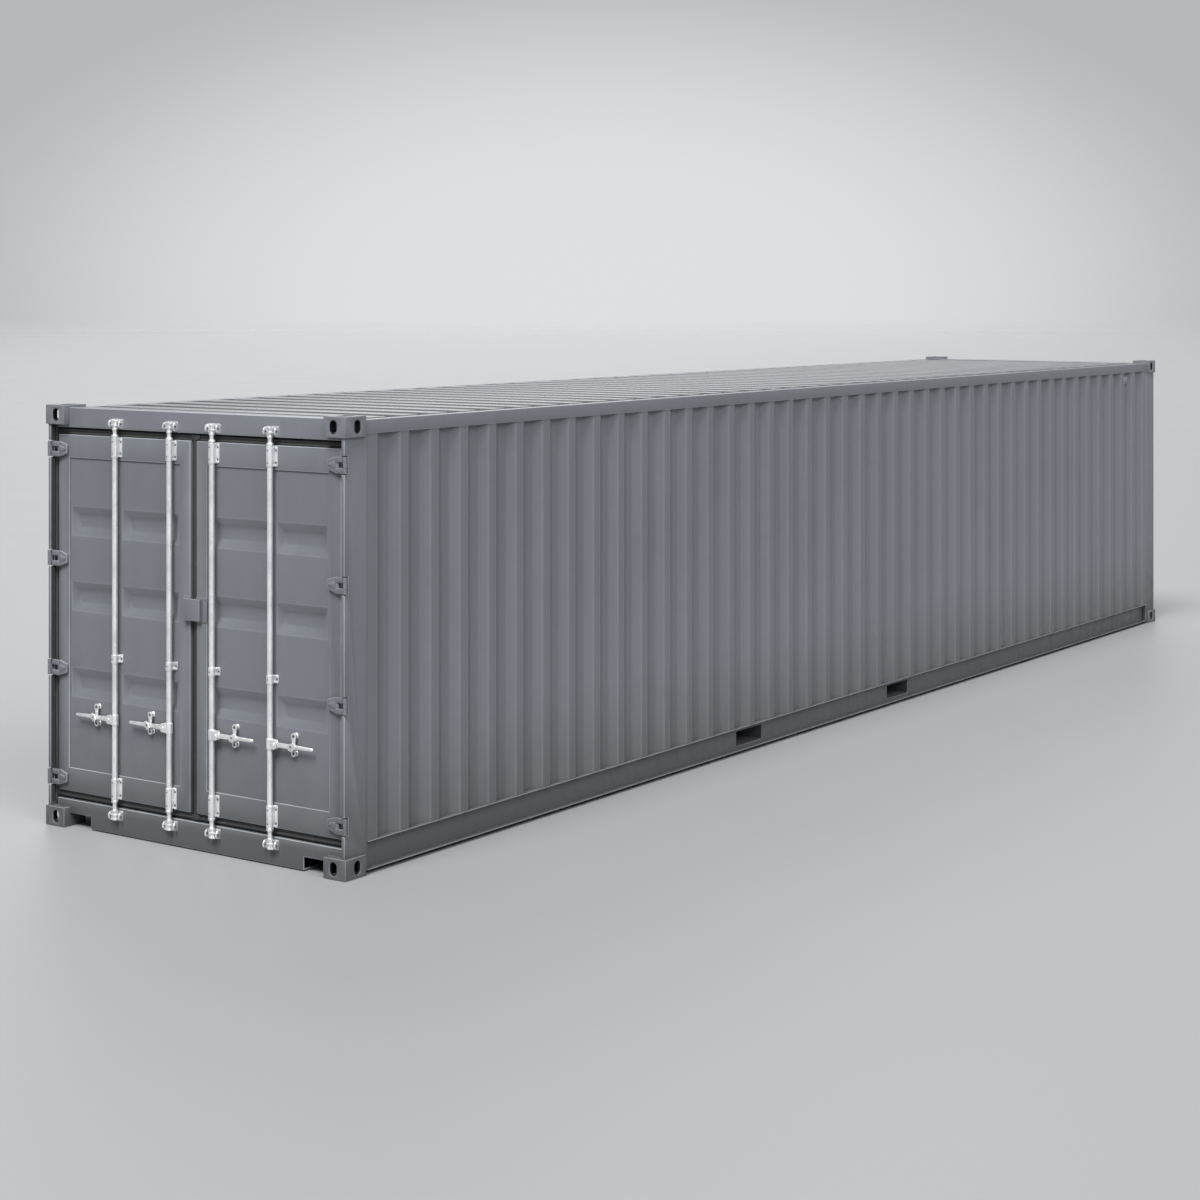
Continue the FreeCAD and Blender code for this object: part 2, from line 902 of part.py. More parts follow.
def hinge_blade(level):
    """A forged blade: a tapered plate on the door, an arm over the gap and a knuckle above and below."""
    half = size.hinge_height / 2
    pin_slack = 0.3
    root = door_outer - size.blade_edge
    shoulder = door_outer - size.blade_shoulder
    tip = door_outer - size.blade_reach
    tip_half = half * size.blade_tip_part
    outline = [
        (root, level - half),
        (shoulder, level - half),
        (tip, level - tip_half),
        (tip, level + tip_half),
        (shoulder, level + half),
        (root, level + half),
    ]
    plate = sketched("blade_plate", "XZ", [outline], rear(size.pin_depth + size.blade_behind_pin), door_face)
    arm = box("blade_arm", (shoulder, pin_x), (rear(arm_front), rear(arm_back)), (level - half, level + half))
    knuckle = cylinder("blade_knuckle", (pin_x, pin_y, level - half), size.knuckle_radius, half * 2)
    window = box(
        "blade_window",
        (leg_inner - size.arm_thickness, pin_x + size.knuckle_radius + 1),
        (rear(0) - 1, rear(arm_back) + 1),
        (level - lug_half - 1, level + lug_half + 1),
    )
    bore = cylinder("blade_bore", (pin_x, pin_y, level - half - 1), size.pin_radius + pin_slack, half * 2 + 2)
    return cut("hinge_blade", fuse("blade_blank", [plate, arm, knuckle]), [window, bore])


both_sides("hinge_mounts", group("hinge_mounts", [hinge_mount(level) for level in hinge_levels]))
both_sides("hinge_blades", group("hinge_blades", [hinge_blade(level) for level in hinge_levels]))


# ---- doors ----

def door_opening():
    """The span inside the door's stiles and rails, across and up."""
    across = (size.door_gap_half + size.centre_stile, door_outer - size.hinge_stile)
    up = (door_bottom + size.door_bottom_rail, door_top - size.door_top_rail)
    return across, up


def door_frame():
    across, up = door_opening()
    blank = box(
        "door_blank", (size.door_gap_half, door_outer), (door_face, door_back), (door_bottom, door_top)
    )
    return cut("door_frame", blank, [box("door_opening", across, (door_face - 1, door_back + 1), up)])


def pressing_spans():
    """The pressed fields of a door panel: two columns beside the outer lock rod's flat strip, three rows."""
    across, _ = door_opening()
    margin = float(size.pressing_margin)
    rod = float(rod_offsets["outer"])
    strip = (rod - 2 * margin, rod + 1.4 * margin)
    columns = [(float(across[0]) + margin, strip[0]), (strip[1], float(across[1]) - margin)]
    half = float(size.pressing_height) / 2
    rows = [float(door_level(part)) for part in (size.low_row_part, size.middle_row_part, size.high_row_part)]
    return [(x, (middle - half, middle + half)) for x in columns for middle in rows]


def pressing(span_x, span_z, start_y, depth, slope, grow):
    def ring(inset, y):
        low_x, high_x = span_x[0] + inset, span_x[1] - inset
        low_z, high_z = span_z[0] + inset, span_z[1] - inset
        return [(low_x, y, low_z), (high_x, y, low_z), (high_x, y, high_z), (low_x, y, high_z)]

    return frustum(ring(-grow, start_y), ring(slope - grow, start_y + depth))


def door_panel():
    """A thin sheet inside the frame, pressed back into shallow trapezoid fields."""
    across, up = door_opening()
    thick = float(size.sheet)
    start = float(rear(panel_depth))
    depth = float(size.pressing_depth)
    slope = float(size.pressing_slope)
    plate = Part.makeBox(
        float(across[1] - across[0]),
        thick,
        float(up[1] - up[0]),
        FreeCAD.Vector(float(across[0]), start, float(up[0])),
    )
    backs = [pressing(x, z, start + thick, depth, slope, thick / 2) for x, z in pressing_spans()]
    fronts = [pressing(x, z, start - 0.01, depth, slope, -thick / 2) for x, z in pressing_spans()]
    return shaped("door_panel", plate.fuse(backs).cut(fronts))


def door_gasket(name, sign, centre_edge):
    """Rubber strips round a door's edge. Centre_edge is how far the strips reach towards the other door."""
    outer = leg_inner - size.gasket_clearance
    low = sill_top + size.gasket_clearance
    high = header_bottom - size.gasket_clearance
    front_depth = size.door_setback + size.gasket_set_in
    depth = (rear(front_depth), rear(front_depth + size.gasket_thickness))

    def strip(span, z):
        ends = tuple(sorted((sized(span[0]) * sign, sized(span[1]) * sign), key=float))
        return box(f"{name}_strip", ends, depth, z)

    strips = [
        strip((door_outer, outer), (low, high)),
        strip((centre_edge, outer), (door_top, high)),
        strip((centre_edge, outer), (low, door_bottom)),
    ]
    if float(centre_edge) < float(size.door_gap_half):
        strips.append(strip((centre_edge, size.door_gap_half), (low, high)))
    return fuse(name, strips)


both_sides("door_frame", door_frame())
both_sides("door_panel", door_panel())
sub_part("door_gasket_right", door_gasket("door_gasket_right", 1, -size.centre_gasket_half))
sub_part("door_gasket_left", door_gasket("door_gasket_left", -1, size.door_gap_half))


# ---- lock box ----

lock_backing_depth = (rear(size.door_setback - size.lock_backing_thickness), door_face)
lock_backing_bottom = door_level(size.lock_box_part) - size.lock_backing_height / 2
lock_backing_span = (lock_backing_bottom, lock_backing_bottom + size.lock_backing_height)


def lock_box():
    """An open-bottomed hood over a padlock, welded to a backing plate on the right door."""
    wall = size.lock_hood_wall
    left = -size.lock_box_overhang
    low = lock_backing_bottom + size.lock_hood_rise
    high = low + size.lock_hood_height
    hood_front, hood_back = rear(size.lock_hood_front), lock_backing_depth[0]
    plate = box("lock_backing", (left, size.lock_backing_edge), lock_backing_depth, lock_backing_span)
    hood = box("lock_hood", (left, size.lock_hood_edge), (hood_front, hood_back), (low, high))
    inside = (left + wall, size.lock_hood_edge - wall)
    hollow = box("lock_hollow", inside, (hood_front + wall, hood_back), (low - 1, high - wall))
    return fuse("lock_box", [plate, cut("lock_shell", hood, [hollow])])


def lock_plate():
    edges = (-size.lock_plate_edge, -size.door_gap_half - size.lock_plate_from_edge)
    return box("lock_plate_left", edges, lock_backing_depth, lock_backing_span)


sub_part("lock_box", lock_box())
sub_part("lock_plate_left", lock_plate())


# ---- lock rods ----

def rod_guide(offset, low, height, seat):
    """A bored sleeve on a flat foot that is bolted to the door."""
    high = low + height
    reach = size.guide_foot_half
    neck_half = size.guide_neck_half
    foot_depth = (rear(seat - size.guide_foot_thickness), rear(seat))
    foot = box("guide_foot", (offset - reach, offset + reach), foot_depth, (low, high))
    neck = box("guide_neck", (offset - neck_half, offset + neck_half), (rod_y, rear(seat)), (low, high))
    sleeve = cylinder("guide_sleeve", (offset, rod_y, low), sleeve_radius, height)
    bore = cylinder("guide_bore", (offset, rod_y, low - 1), size.rod_radius + size.rod_clearance, height + 2)
    return cut("rod_guide", fuse("guide_blank", [foot, neck, sleeve]), [bore])


def rod_guides():
    """Three guides to a rod: one on each rail of the door frame and one on its panel."""
    edge = size.guide_from_door_edge
    middle = door_level(size.middle_guide_part) - size.middle_guide_height / 2
    places = [
        (door_bottom + edge, size.low_guide_height, size.door_setback),
        (middle, size.middle_guide_height, panel_depth),
        (door_top - edge - size.high_guide_height, size.high_guide_height, size.door_setback),
    ]
    guides = [rod_guide(offset, *place) for offset in rod_offsets.values() for place in places]
    return group("rod_guides", guides)


def keeper(offset, low):
    """A foot with two cheeks: the cam at the rod's end turns between them."""
    cheek = size.keeper_cheek
    reach = size.cam_reach + size.keeper_gap + cheek
    high = low + size.keeper_height
    foot_front = door_face - size.keeper_foot
    foot = box("keeper_foot", (offset - reach, offset + reach), (foot_front, door_face), (low, high))
    cheeks = [
        box("keeper_cheek", (start, start + cheek), (rear(size.keeper_front), foot_front), (low, high))
        for start in (offset - reach, offset + reach - cheek)
    ]
    return fuse("keeper", [foot] + cheeks)


def keepers(label, low):
    right = group(f"{label}_right", [keeper(offset, low) for offset in rod_offsets.values()])
    sub_part(label, group(label, [right, mirror(f"{label}_left", right)]))


def lock_rod(name, offset):
    """The bar with a cam at each end, and the clevis and pin that carry its handle."""
    cam_half = size.cam_half
    height = size.cam_height
    pieces = [cylinder("rod_bar", (offset, rod_y, rod_bottom), size.rod_radius, rod_top - rod_bottom)]
    for low in (rod_bottom, rod_top - height):
        cam_depth = (rod_y - cam_half, rod_y + cam_half)
        pieces.append(cylinder("rod_cam_head", (offset, rod_y, low), size.rod_radius + 1, height))
        pieces.append(box("rod_cam", (offset, offset + size.cam_reach), cam_depth, (low, low + height)))
    level = handle_level
    gap = size.clevis_clearance
    end = offset + hub_pin_offset + size.clevis_end
    clevis = (level - size.clevis_half, level + size.clevis_half)
    slot_depth = (rear(handle_front - gap), rear(handle_back + gap))
    hub_depth = (slot_depth[0] - size.clevis_plate, slot_depth[1] + size.clevis_plate)
    collar_start = (offset, rod_y, level - size.collar_half)
    pieces.append(cylinder("rod_collar", collar_start, sleeve_radius, size.collar_half * 2))
    pieces.append(box("rod_hub", (offset, end), hub_depth, clevis))
    slot = box(
        "rod_hub_slot",
        (offset + sleeve_radius + 2, end + 1),
        slot_depth,
        (clevis[0] - 1, clevis[1] + 1),
    )
    pin_start = (offset + hub_pin_offset, hub_depth[0] - 1, level)
    pin = cylinder("handle_pin", pin_start, size.handle_pin_radius, hub_depth[1] - hub_depth[0] + 2, "y")
    return fuse(name, [cut("rod_blank", fuse("rod_solid", pieces), [slot]), pin])


def lock_handle(name, offset):
    """A flat forged lever: an eye on the clevis pin, a shank, a raised collar and a slimmer grip."""
    pin_slack = 0.3
    half = size.handle_half
    shank = half - 2
    grip = half - 4
    catch = size.catch_offset
    end = size.handle_length
    collar_start, collar_end = catch - half - 1, catch + 2 * half
    profile = [
        (hub_pin_offset, -half),
        (collar_start - 8, -shank),
        (collar_start, -half),
        (collar_end, -half),
        (collar_end + 4, -grip),
        (end - 6, -grip),
        (end, -grip + 4),
        (end, grip - 2),
        (end - 6, grip + 1),
        (collar_end + 4, shank),
        (collar_end, half + 1),
        (catch + 4, half + 5),
        (collar_start, half - 1),
        (collar_start - 8, shank),
        (hub_pin_offset, half),
    ]
    outline = [(offset + along, handle_level + up) for along, up in profile]
    depth = (rear(handle_front), rear(handle_back))
    lever = sketched("handle_lever", "XZ", [outline], *depth)
    eye_start = (offset + hub_pin_offset, depth[0], handle_level)
    eye = cylinder("handle_eye", eye_start, half, size.handle_thickness, "y")
    bore_start = (offset + hub_pin_offset, depth[0] - 1, handle_level)
    bore_radius = size.handle_pin_radius + pin_slack
    bore = cylinder("handle_bore", bore_start, bore_radius, size.handle_thickness + 2, "y")
    return cut(name, fuse("handle_blank", [lever, eye]), [bore])


def handle_catch(offset):
    """A two-lobed plate on two feet, with a shelf that the handle rests over."""
    centre = offset + size.catch_offset
    across = (centre - size.catch_half, centre + size.catch_half)
    level = handle_level + size.catch_over_handle
    rise = size.catch_lobe_rise
    face = handle_back + size.catch_gap
    plate_depth = (rear(face), rear(face + size.catch_plate))
    pieces = [box("catch_plate", across, plate_depth, (level - rise, level + rise))]
    for sign in (-1, 1):
        start = (centre, rear(face), level + rise * sign)
        pieces.append(cylinder("catch_lobe", start, size.catch_lobe_radius, panel_depth - face, "y"))
    shelf_top = handle_level - size.handle_half - size.catch_gap
    shelf = (shelf_top - size.shelf_thickness, shelf_top)
    pieces.append(box("catch_shelf", across, (rear(handle_front), rear(face)), shelf))
    return fuse("handle_catch", pieces)


both_sides("rod_guides", rod_guides())
both_sides("handle_catches", group("handle_catches", [handle_catch(offset) for offset in rod_offsets.values()]))
keepers("header_keepers", header_keeper_bottom)
keepers("sill_keepers", sill_keeper_bottom)
for place, rod_offset in rod_offsets.items():
    both_sides(f"lock_rod_{place}", lock_rod(f"lock_rod_{place}", rod_offset))
    both_sides(f"handle_{place}", lock_handle(f"handle_{place}", rod_offset))


# ---- check and write ----

doc.recompute()
failed = [item.Name for item in doc.Objects if {"Invalid", "Error"} & set(item.State)]
failed += [item.Label for item in sub_parts if item.Shape.isNull() or not item.Shape.isValid()]
failed += [item.Label for item in sub_parts if not item.Shape.Solids]
if failed:
    raise RuntimeError(f"these objects failed: {failed}")
os.makedirs("parts", exist_ok=True)
for item in sub_parts:
    item.Shape.exportStep(f"parts/{item.Label}.step")
print(len(sub_parts), "sub-parts written")
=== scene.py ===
import json
import math
import random

import bmesh
import bpy
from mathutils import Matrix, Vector

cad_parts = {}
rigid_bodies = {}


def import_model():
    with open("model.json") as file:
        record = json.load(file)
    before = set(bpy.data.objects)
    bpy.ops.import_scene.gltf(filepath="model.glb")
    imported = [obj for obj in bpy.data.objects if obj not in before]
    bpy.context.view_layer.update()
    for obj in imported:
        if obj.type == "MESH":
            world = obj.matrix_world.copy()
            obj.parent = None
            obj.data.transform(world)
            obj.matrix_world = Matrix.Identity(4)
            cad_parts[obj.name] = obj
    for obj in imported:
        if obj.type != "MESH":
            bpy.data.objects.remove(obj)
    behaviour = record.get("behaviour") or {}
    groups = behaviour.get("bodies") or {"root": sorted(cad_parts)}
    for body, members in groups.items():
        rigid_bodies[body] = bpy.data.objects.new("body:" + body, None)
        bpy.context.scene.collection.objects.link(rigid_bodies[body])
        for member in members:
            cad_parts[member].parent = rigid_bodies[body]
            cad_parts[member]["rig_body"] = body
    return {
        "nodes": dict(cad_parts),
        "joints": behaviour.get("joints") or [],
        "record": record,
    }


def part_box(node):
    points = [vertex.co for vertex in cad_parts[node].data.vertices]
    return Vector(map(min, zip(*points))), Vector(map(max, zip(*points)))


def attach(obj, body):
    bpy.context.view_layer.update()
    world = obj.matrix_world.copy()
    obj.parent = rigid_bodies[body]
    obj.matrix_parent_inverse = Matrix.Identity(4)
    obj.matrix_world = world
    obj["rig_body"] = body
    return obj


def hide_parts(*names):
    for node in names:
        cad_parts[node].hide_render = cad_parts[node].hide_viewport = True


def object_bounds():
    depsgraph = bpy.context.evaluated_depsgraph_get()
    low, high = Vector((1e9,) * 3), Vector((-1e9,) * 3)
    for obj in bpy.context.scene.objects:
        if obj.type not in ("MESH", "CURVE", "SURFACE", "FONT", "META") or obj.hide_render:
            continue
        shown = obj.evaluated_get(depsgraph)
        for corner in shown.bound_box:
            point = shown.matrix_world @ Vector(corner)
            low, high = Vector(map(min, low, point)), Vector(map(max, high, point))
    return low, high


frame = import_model()
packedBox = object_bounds()
slotOf = {part["node"]: part["material_slot"] for part in frame["record"]["subparts"]}
print("container loaded with", len(frame["nodes"]), "CAD nodes")


# shader sums are written as plain expressions on wires
class Wire:
    def __init__(self, finish, socket):
        self.finish, self.socket = finish, socket

    def sum(self, operation, *values):
        return self.finish.node("ShaderNodeMath", {"operation": operation}, dict(enumerate(values)))

    def __add__(self, other):
        return self.sum("ADD", self, other)

    def __sub__(self, other):
        return self.sum("SUBTRACT", self, other)

    def __rsub__(self, other):
        return self.sum("SUBTRACT", other, self)

    def __mul__(self, other):
        return self.sum("MULTIPLY", self, other)

    __radd__ = __add__
    __rmul__ = __mul__


class Finish:
    # its owner is a material or a world
    def __init__(self, name, make=bpy.data.materials.new, shader="Principled BSDF", place="Object"):
        self.owner = make(name)
        self.owner.use_nodes = True
        self.tree = self.owner.node_tree
        self.shader = self.tree.nodes[shader]
        self.place = self.node("ShaderNodeTexCoord", output=place)

    def node(self, kind, settings=None, sockets=None, output=0):
        made = self.tree.nodes.new(kind)
        for key, value in (settings or {}).items():
            if key == "stops":
                for stop, (position, shade) in zip(made.color_ramp.elements, value):
                    stop.position, stop.color = position, (shade, shade, shade, 1)
            else:
                setattr(made, key, value)
        for key, value in (sockets or {}).items():
            self.plug(made.inputs[key], value)
        return Wire(self, made.outputs[output])

    def plug(self, target, value):
        if isinstance(value, Wire):
            self.tree.links.new(value.socket, target)
        else:
            target.default_value = value

    def noise(self, scale, detail=3, stretch=(1, 1, 1), roughness=0.5):
        place = self.place
        if stretch != (1, 1, 1):
            place = self.node("ShaderNodeMapping", sockets={"Vector": place, "Scale": stretch})
        sockets = {"Vector": place, "Scale": scale, "Detail": detail, "Roughness": roughness}
        return self.node("ShaderNodeTexNoise", sockets=sockets)

    def mask(self, wire, start, end):  # 0 at start, 1 at end, smooth between them
        settings = {"interpolation_type": "SMOOTHSTEP"}
        return self.node("ShaderNodeMapRange", settings, {"Value": wire, 1: start, 2: end})

    def height(self):
        return self.node("ShaderNodeSeparateXYZ", sockets={0: self.place}, output="Z")

    def painted(self, layer):  # a value that each face holds: edge, hollow or board
        return self.node("ShaderNodeAttribute", {"attribute_name": layer}, output="Fac")

    def mixed(self, factor, first, second):
        return self.node("ShaderNodeMix", {"data_type": "RGBA"}, {0: factor, 6: first, 7: second}, 2)

    def fixed(self, **values):  # the same all over the surface
        for key, value in values.items():
            self.shader.inputs[key.replace("_", " ")].default_value = value

    def varied(self, colour=None, roughness=None, bump=None, depth=0.001, strength=0.5):
        if colour:
            self.plug(self.shader.inputs["Base Color"], colour)
        if roughness:
            self.plug(self.shader.inputs["Roughness"], roughness)
        if bump:
            sockets = {"Height": bump, "Distance": depth, "Strength": strength}
            self.plug(self.shader.inputs["Normal"], self.node("ShaderNodeBump", sockets=sockets))
        return self.owner


paintLook = {
    "colour": (0.112, 0.120, 0.133, 1),
    "shade": (0.101, 0.109, 0.121, 1),
    # painted highlight, partly wear: the lighter paint on rounded outward edges
    "edge": (0.29, 0.302, 0.32, 1),
    "dust": (0.16, 0.157, 0.150, 1),
    # painted shade: the colour the paint darkens to towards the floor
    "grime": (0.055, 0.057, 0.060, 1),
    # painted shade on the roof's rib slopes
    "runoff": (0.022, 0.023, 0.024, 1),
    # painted shade: the near-black colour inside the hollow corner fittings
    "hollow": (0.012, 0.012, 0.013, 1),
    "roughness": 0.40,
    "washed": 0.18,
    "upward": (0.8, 0.98),
    "peelSize": 240,
    "peelDepth": 0.0006,
    # heights in metres where the dust and the painted shade near the floor end and are strongest, and that
    # painted shade's share, then the same for a steeper band of painted shade at the foot
    "grimeTop": 0.9,
    "grimeFoot": 0.05,
    "grimeShare": 0.62,
    "splashTop": 0.24,
    "splashFoot": 0.08,
    "splashShare": 0.2,
}


def greyPaint(name, look=paintLook, grain=0.0, edgeWearAndHighlight=0.55, runoff=0.0):
    finish = Finish(name)
    cloud = finish.noise(0.8, 3)
    mottle = finish.noise(11, 4)
    streak = finish.noise(1, 4, (14, 14, 0.5))
    speck = finish.mask(finish.noise(160, 2), 0.66, 0.74)
    peel = finish.noise(look["peelSize"], 2)
    edge = finish.painted("edge")
    # 1 at the foot and 0 higher up: it drives the dust and the painted shade near the floor
    low = 1 - finish.mask(finish.height(), look["grimeFoot"], look["grimeTop"])
    dust = low * finish.mask(mottle + streak * 0.6, 0.62, 1.05)
    tone = finish.mask(cloud * 0.5 + mottle * 0.25 + streak * 0.25, 0.3, 0.62)
    colour = finish.mixed(tone, look["shade"], look["colour"])
    colour = finish.mixed(dust * 0.22 + speck * 0.05, colour, look["dust"])
    # painted shade: darker towards the floor, in a broad band and a steeper band at the foot
    footShade = finish.mask(finish.height(), look["splashTop"], look["splashFoot"])
    colour = finish.mixed(low * look["grimeShare"] + footShade * look["splashShare"], colour, look["grime"])
    # painted highlight, partly wear, on the rounded outward edges
    colour = finish.mixed(edge * edgeWearAndHighlight * (0.6 + mottle * 0.8), colour, look["edge"])
    # painted shade inside the corner fittings
    colour = finish.mixed(finish.painted("hollow"), colour, look["hollow"])
    facing = finish.node("ShaderNodeTexCoord", output="Normal")
    facingZ = finish.node("ShaderNodeSeparateXYZ", sockets={0: facing}, output="Z")
    upward = finish.mask(facingZ, *look["upward"])
    roughness = look["roughness"] - 0.06 + mottle * 0.14 + dust * 0.2 - edge * 0.08 - upward * look["washed"]
    bump = peel * 0.35 + mottle * 0.5 + cloud * 1.5
    if runoff:  # painted shade: faces that don't face up, the rib slopes, get a darker colour, and the flats keep theirs
        colour = finish.mixed((1 - upward) * runoff, colour, look["runoff"])
        bump = peel * 0.2 + cloud
        roughness = roughness - upward * 0.04
    if grain:
        bump = bump + finish.noise(95, 5, roughness=0.65) * grain
    finish.fixed(Specular_IOR_Level=0.45)
    return finish.varied(colour, roughness, bump, look["peelDepth"], 0.35)


zincLook = {
    "colour": (0.86, 0.865, 0.875, 1),
    "dull": (0.70, 0.71, 0.725, 1),
    "crevice": (0.30, 0.31, 0.33, 1),
    "spangle": 120,
}

# dark heads: partly dark steel, partly painted shade standing for the shadowed holes at the fixings
boltLook = {
    "colour": (0.16, 0.165, 0.17, 1),
    "dull": (0.07, 0.072, 0.075, 1),
    "crevice": (0.03, 0.03, 0.03, 1),
    "spangle": 300,
}


def brightZinc(name, look=zincLook):
    finish = Finish(name)
    sockets = {"Vector": finish.place, "Scale": look["spangle"]}
    cell = finish.node("ShaderNodeTexVoronoi", sockets=sockets, output=1)
    flake = finish.node("ShaderNodeSeparateColor", sockets={0: cell})
    cloud = finish.noise(9, 4)
    scuff = finish.mask(finish.noise(40, 4, (1, 1, 0.12)), 0.52, 0.75)
    edge = finish.painted("edge")
    tone = finish.mask(cloud + flake * 0.2, 0.35, 0.8)
    colour = finish.mixed(tone, look["dull"], look["colour"])
    colour = finish.mixed(scuff * 0.25, colour, look["crevice"])
    colour = finish.mixed(edge * 0.5, colour, look["colour"])
    roughness = 0.26 + flake * 0.08 + scuff * 0.2 + cloud * 0.1
    bump = flake * 0.1 + finish.noise(320, 3) * 0.5 + scuff * 0.4
    finish.fixed(Metallic=0.85)
    return finish.varied(colour, roughness, bump, 0.0004, 0.4)


rubberLook = {"colour": (0.026, 0.0255, 0.025, 1), "chalk": (0.058, 0.056, 0.053, 1)}


def sealRubber(name, look=rubberLook):
    finish = Finish(name)
    grain = finish.noise(420, 3)
    cloud = finish.noise(6, 4)
    chalk = finish.mask(finish.noise(30, 5), 0.5, 0.8)
    colour = finish.mixed(chalk * 0.5, look["colour"], look["chalk"])
    finish.fixed(Specular_IOR_Level=0.35)
    return finish.varied(colour, 0.52 + cloud * 0.2, grain + cloud, 0.0005, 0.4)


plywoodLook = {
    "dark": (0.20, 0.105, 0.045, 1),
    "light": (0.36, 0.215, 0.115, 1),
    "ring": (0.15, 0.075, 0.032, 1),
    "worn": (0.40, 0.32, 0.24, 1),
    "oddBoard": (0.17, 0.10, 0.05, 1),
}


def deckPlywood(name, look=plywoodLook):
    finish = Finish(name)
    grain = finish.noise(7, 6, (9, 0.6, 9), 0.6)
    rings = finish.node(
        "ShaderNodeTexWave",
        {"bands_direction": "X"},
        {"Vector": finish.place, "Scale": 5, "Distortion": 9, "Detail": 3, "Detail Scale": 0.7},
    )
    wear = finish.mask(finish.noise(1.3, 4), 0.42, 0.72)
    colour = finish.mixed(grain, look["dark"], look["light"])
    colour = finish.mixed(rings * 0.35, colour, look["ring"])
    colour = finish.mixed(wear * 0.35, colour, look["worn"])
    colour = finish.mixed(finish.painted("board") * 0.35, colour, look["oddBoard"])
    return finish.varied(colour, 0.42 + wear * 0.3, grain + rings * 0.4, 0.0008, 0.5)


undersealLook = {"dark": (0.030, 0.031, 0.033, 1), "light": (0.062, 0.063, 0.065, 1)}


def underseal(name, look=undersealLook):
    finish = Finish(name)
    clump = finish.noise(55, 5, roughness=0.65)
    cloud = finish.noise(2, 4)
    colour = finish.mixed(cloud, look["dark"], look["light"])
    return finish.varied(colour, 0.62 + clump * 0.25, clump, 0.002, 0.6)


materials = {
    "painted_steel": greyPaint("greyPaint"),
    "painted_sheet": greyPaint("greySheetPaint", edgeWearAndHighlight=0.12),
    "roof_sheet": greyPaint("greyRoofPaint", edgeWearAndHighlight=0.0, runoff=0.85),
    "cast_fitting": greyPaint("greyCastPaint", grain=0.9, edgeWearAndHighlight=0.85),
    "zinc_steel": brightZinc("brightZinc"),
    "dark_bolts": brightZinc("darkBolts", boltLook),
    "seal_rubber": sealRubber("sealRubber"),
    "deck_plywood": deckPlywood("deckPlywood"),
    "underside_coating": underseal("undersealCoat"),
}
print("finishes made")


def plainName(node):  # rear_post_left becomes rearPostLeft
    first, *rest = node.split("_")
    return first + "".join(word.title() for word in rest)


smoothBelow = 32  # degrees between faces that are shaded as one surface


def finished(bm, name, body, slot, nodes=()):
    mesh = bpy.data.meshes.new(name)
    bmesh.ops.recalc_face_normals(bm, faces=bm.faces)
    bm.to_mesh(mesh)
    bm.free()
    for face in mesh.polygons:
        face.use_smooth = True
    mesh.set_sharp_from_angle(angle=math.radians(smoothBelow))
    mesh.materials.append(materials[slot])
    piece = bpy.data.objects.new(name, mesh)
    bpy.context.scene.collection.objects.link(piece)
    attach(piece, body)
    if nodes:
        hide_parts(*nodes)


def rounded(bm, edges, radius, steps=2):  # rounds the edges and marks the outward ones, which the paint lightens as a painted highlight, partly wear
    bm.faces.layers.float.get("edge") or bm.faces.layers.float.new("edge")
    for outward in (True, False):
        chosen = [edge for edge in edges if edge.is_valid and edge.is_convex == outward]
        if not chosen:
            continue
        made = bmesh.ops.bevel(
            bm, geom=chosen, offset=radius, segments=steps, profile=0.5, affect="EDGES", clamp_overlap=True
        )
        layer = bm.faces.layers.float["edge"]
        for face in made["faces"]:
            face[layer] = float(outward)


def softened(node, radius, steps, above, below=181):
    source = frame["nodes"][node]
    bm = bmesh.new()
    bm.from_mesh(source.data)
    bmesh.ops.remove_doubles(bm, verts=bm.verts, dist=2e-5)
    bmesh.ops.dissolve_limit(bm, angle_limit=math.radians(0.6), verts=bm.verts, edges=bm.edges)
    folds = [(edge, math.degrees(edge.calc_face_angle(0))) for edge in bm.edges if edge.is_manifold]
    rounded(bm, [edge for edge, angle in folds if above < angle < below], radius, steps)
    slot = "painted_sheet" if "panel" in node else slotOf[node]
    if slot == "cast_fitting":
        shaded(bm, *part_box(node))
    finished(bm, plainName(node), source["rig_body"], slot, [node])


fittingSizes = {"width": 0.162, "length": 0.178, "rim": 0.0035}


def shaded(bm, low, high):  # marks the insides of the four hollow corner fittings, which the paint darkens as painted shade
    layer = bm.faces.layers.float.new("hollow")
    nearX, nearY = high.x - fittingSizes["width"], high.y - fittingSizes["length"]
    for face in bm.faces:
        x, y, z = face.calc_center_median()
        margins = (abs(x) - nearX, high.x - abs(x), abs(y) - nearY, high.y - abs(y), z - low.z, high.z - z)
        face[layer] = float(min(margins) > fittingSizes["rim"])


softEdges = [  # nodes, radius in metres, steps, and the fold angles whose edges are rounded
    ("corner_fittings_bottom corner_fittings_top", 0.0055, 2, 50),
    ("rear_post_left rear_post_right front_post_left front_post_right", 0.003, 2, 40),
    ("door_header", 0.008, 3, 40),
    ("door_sill front_top_rail", 0.004, 2, 40),
    ("front_sill", 0.003, 1, 40),
    ("top_side_rail_left top_side_rail_right", 0.009, 3, 40),
    ("bottom_side_rail_left bottom_side_rail_right", 0.0022, 2, 40),
    ("forklift_pockets", 0.0015, 1, 40),
    ("door_frame_left door_frame_right", 0.004, 2, 40),
    ("hinge_mounts_left hinge_mounts_right", 0.0015, 1, 50),
    ("side_panel_left side_panel_right front_panel", 0.007, 3, 15, 60),
    ("door_panel_left door_panel_right", 0.005, 2, 15, 60),
]
for nodes, *rounding in softEdges:
    for node in nodes.split():
        softened(node, *rounding)
print("steelwork softened")


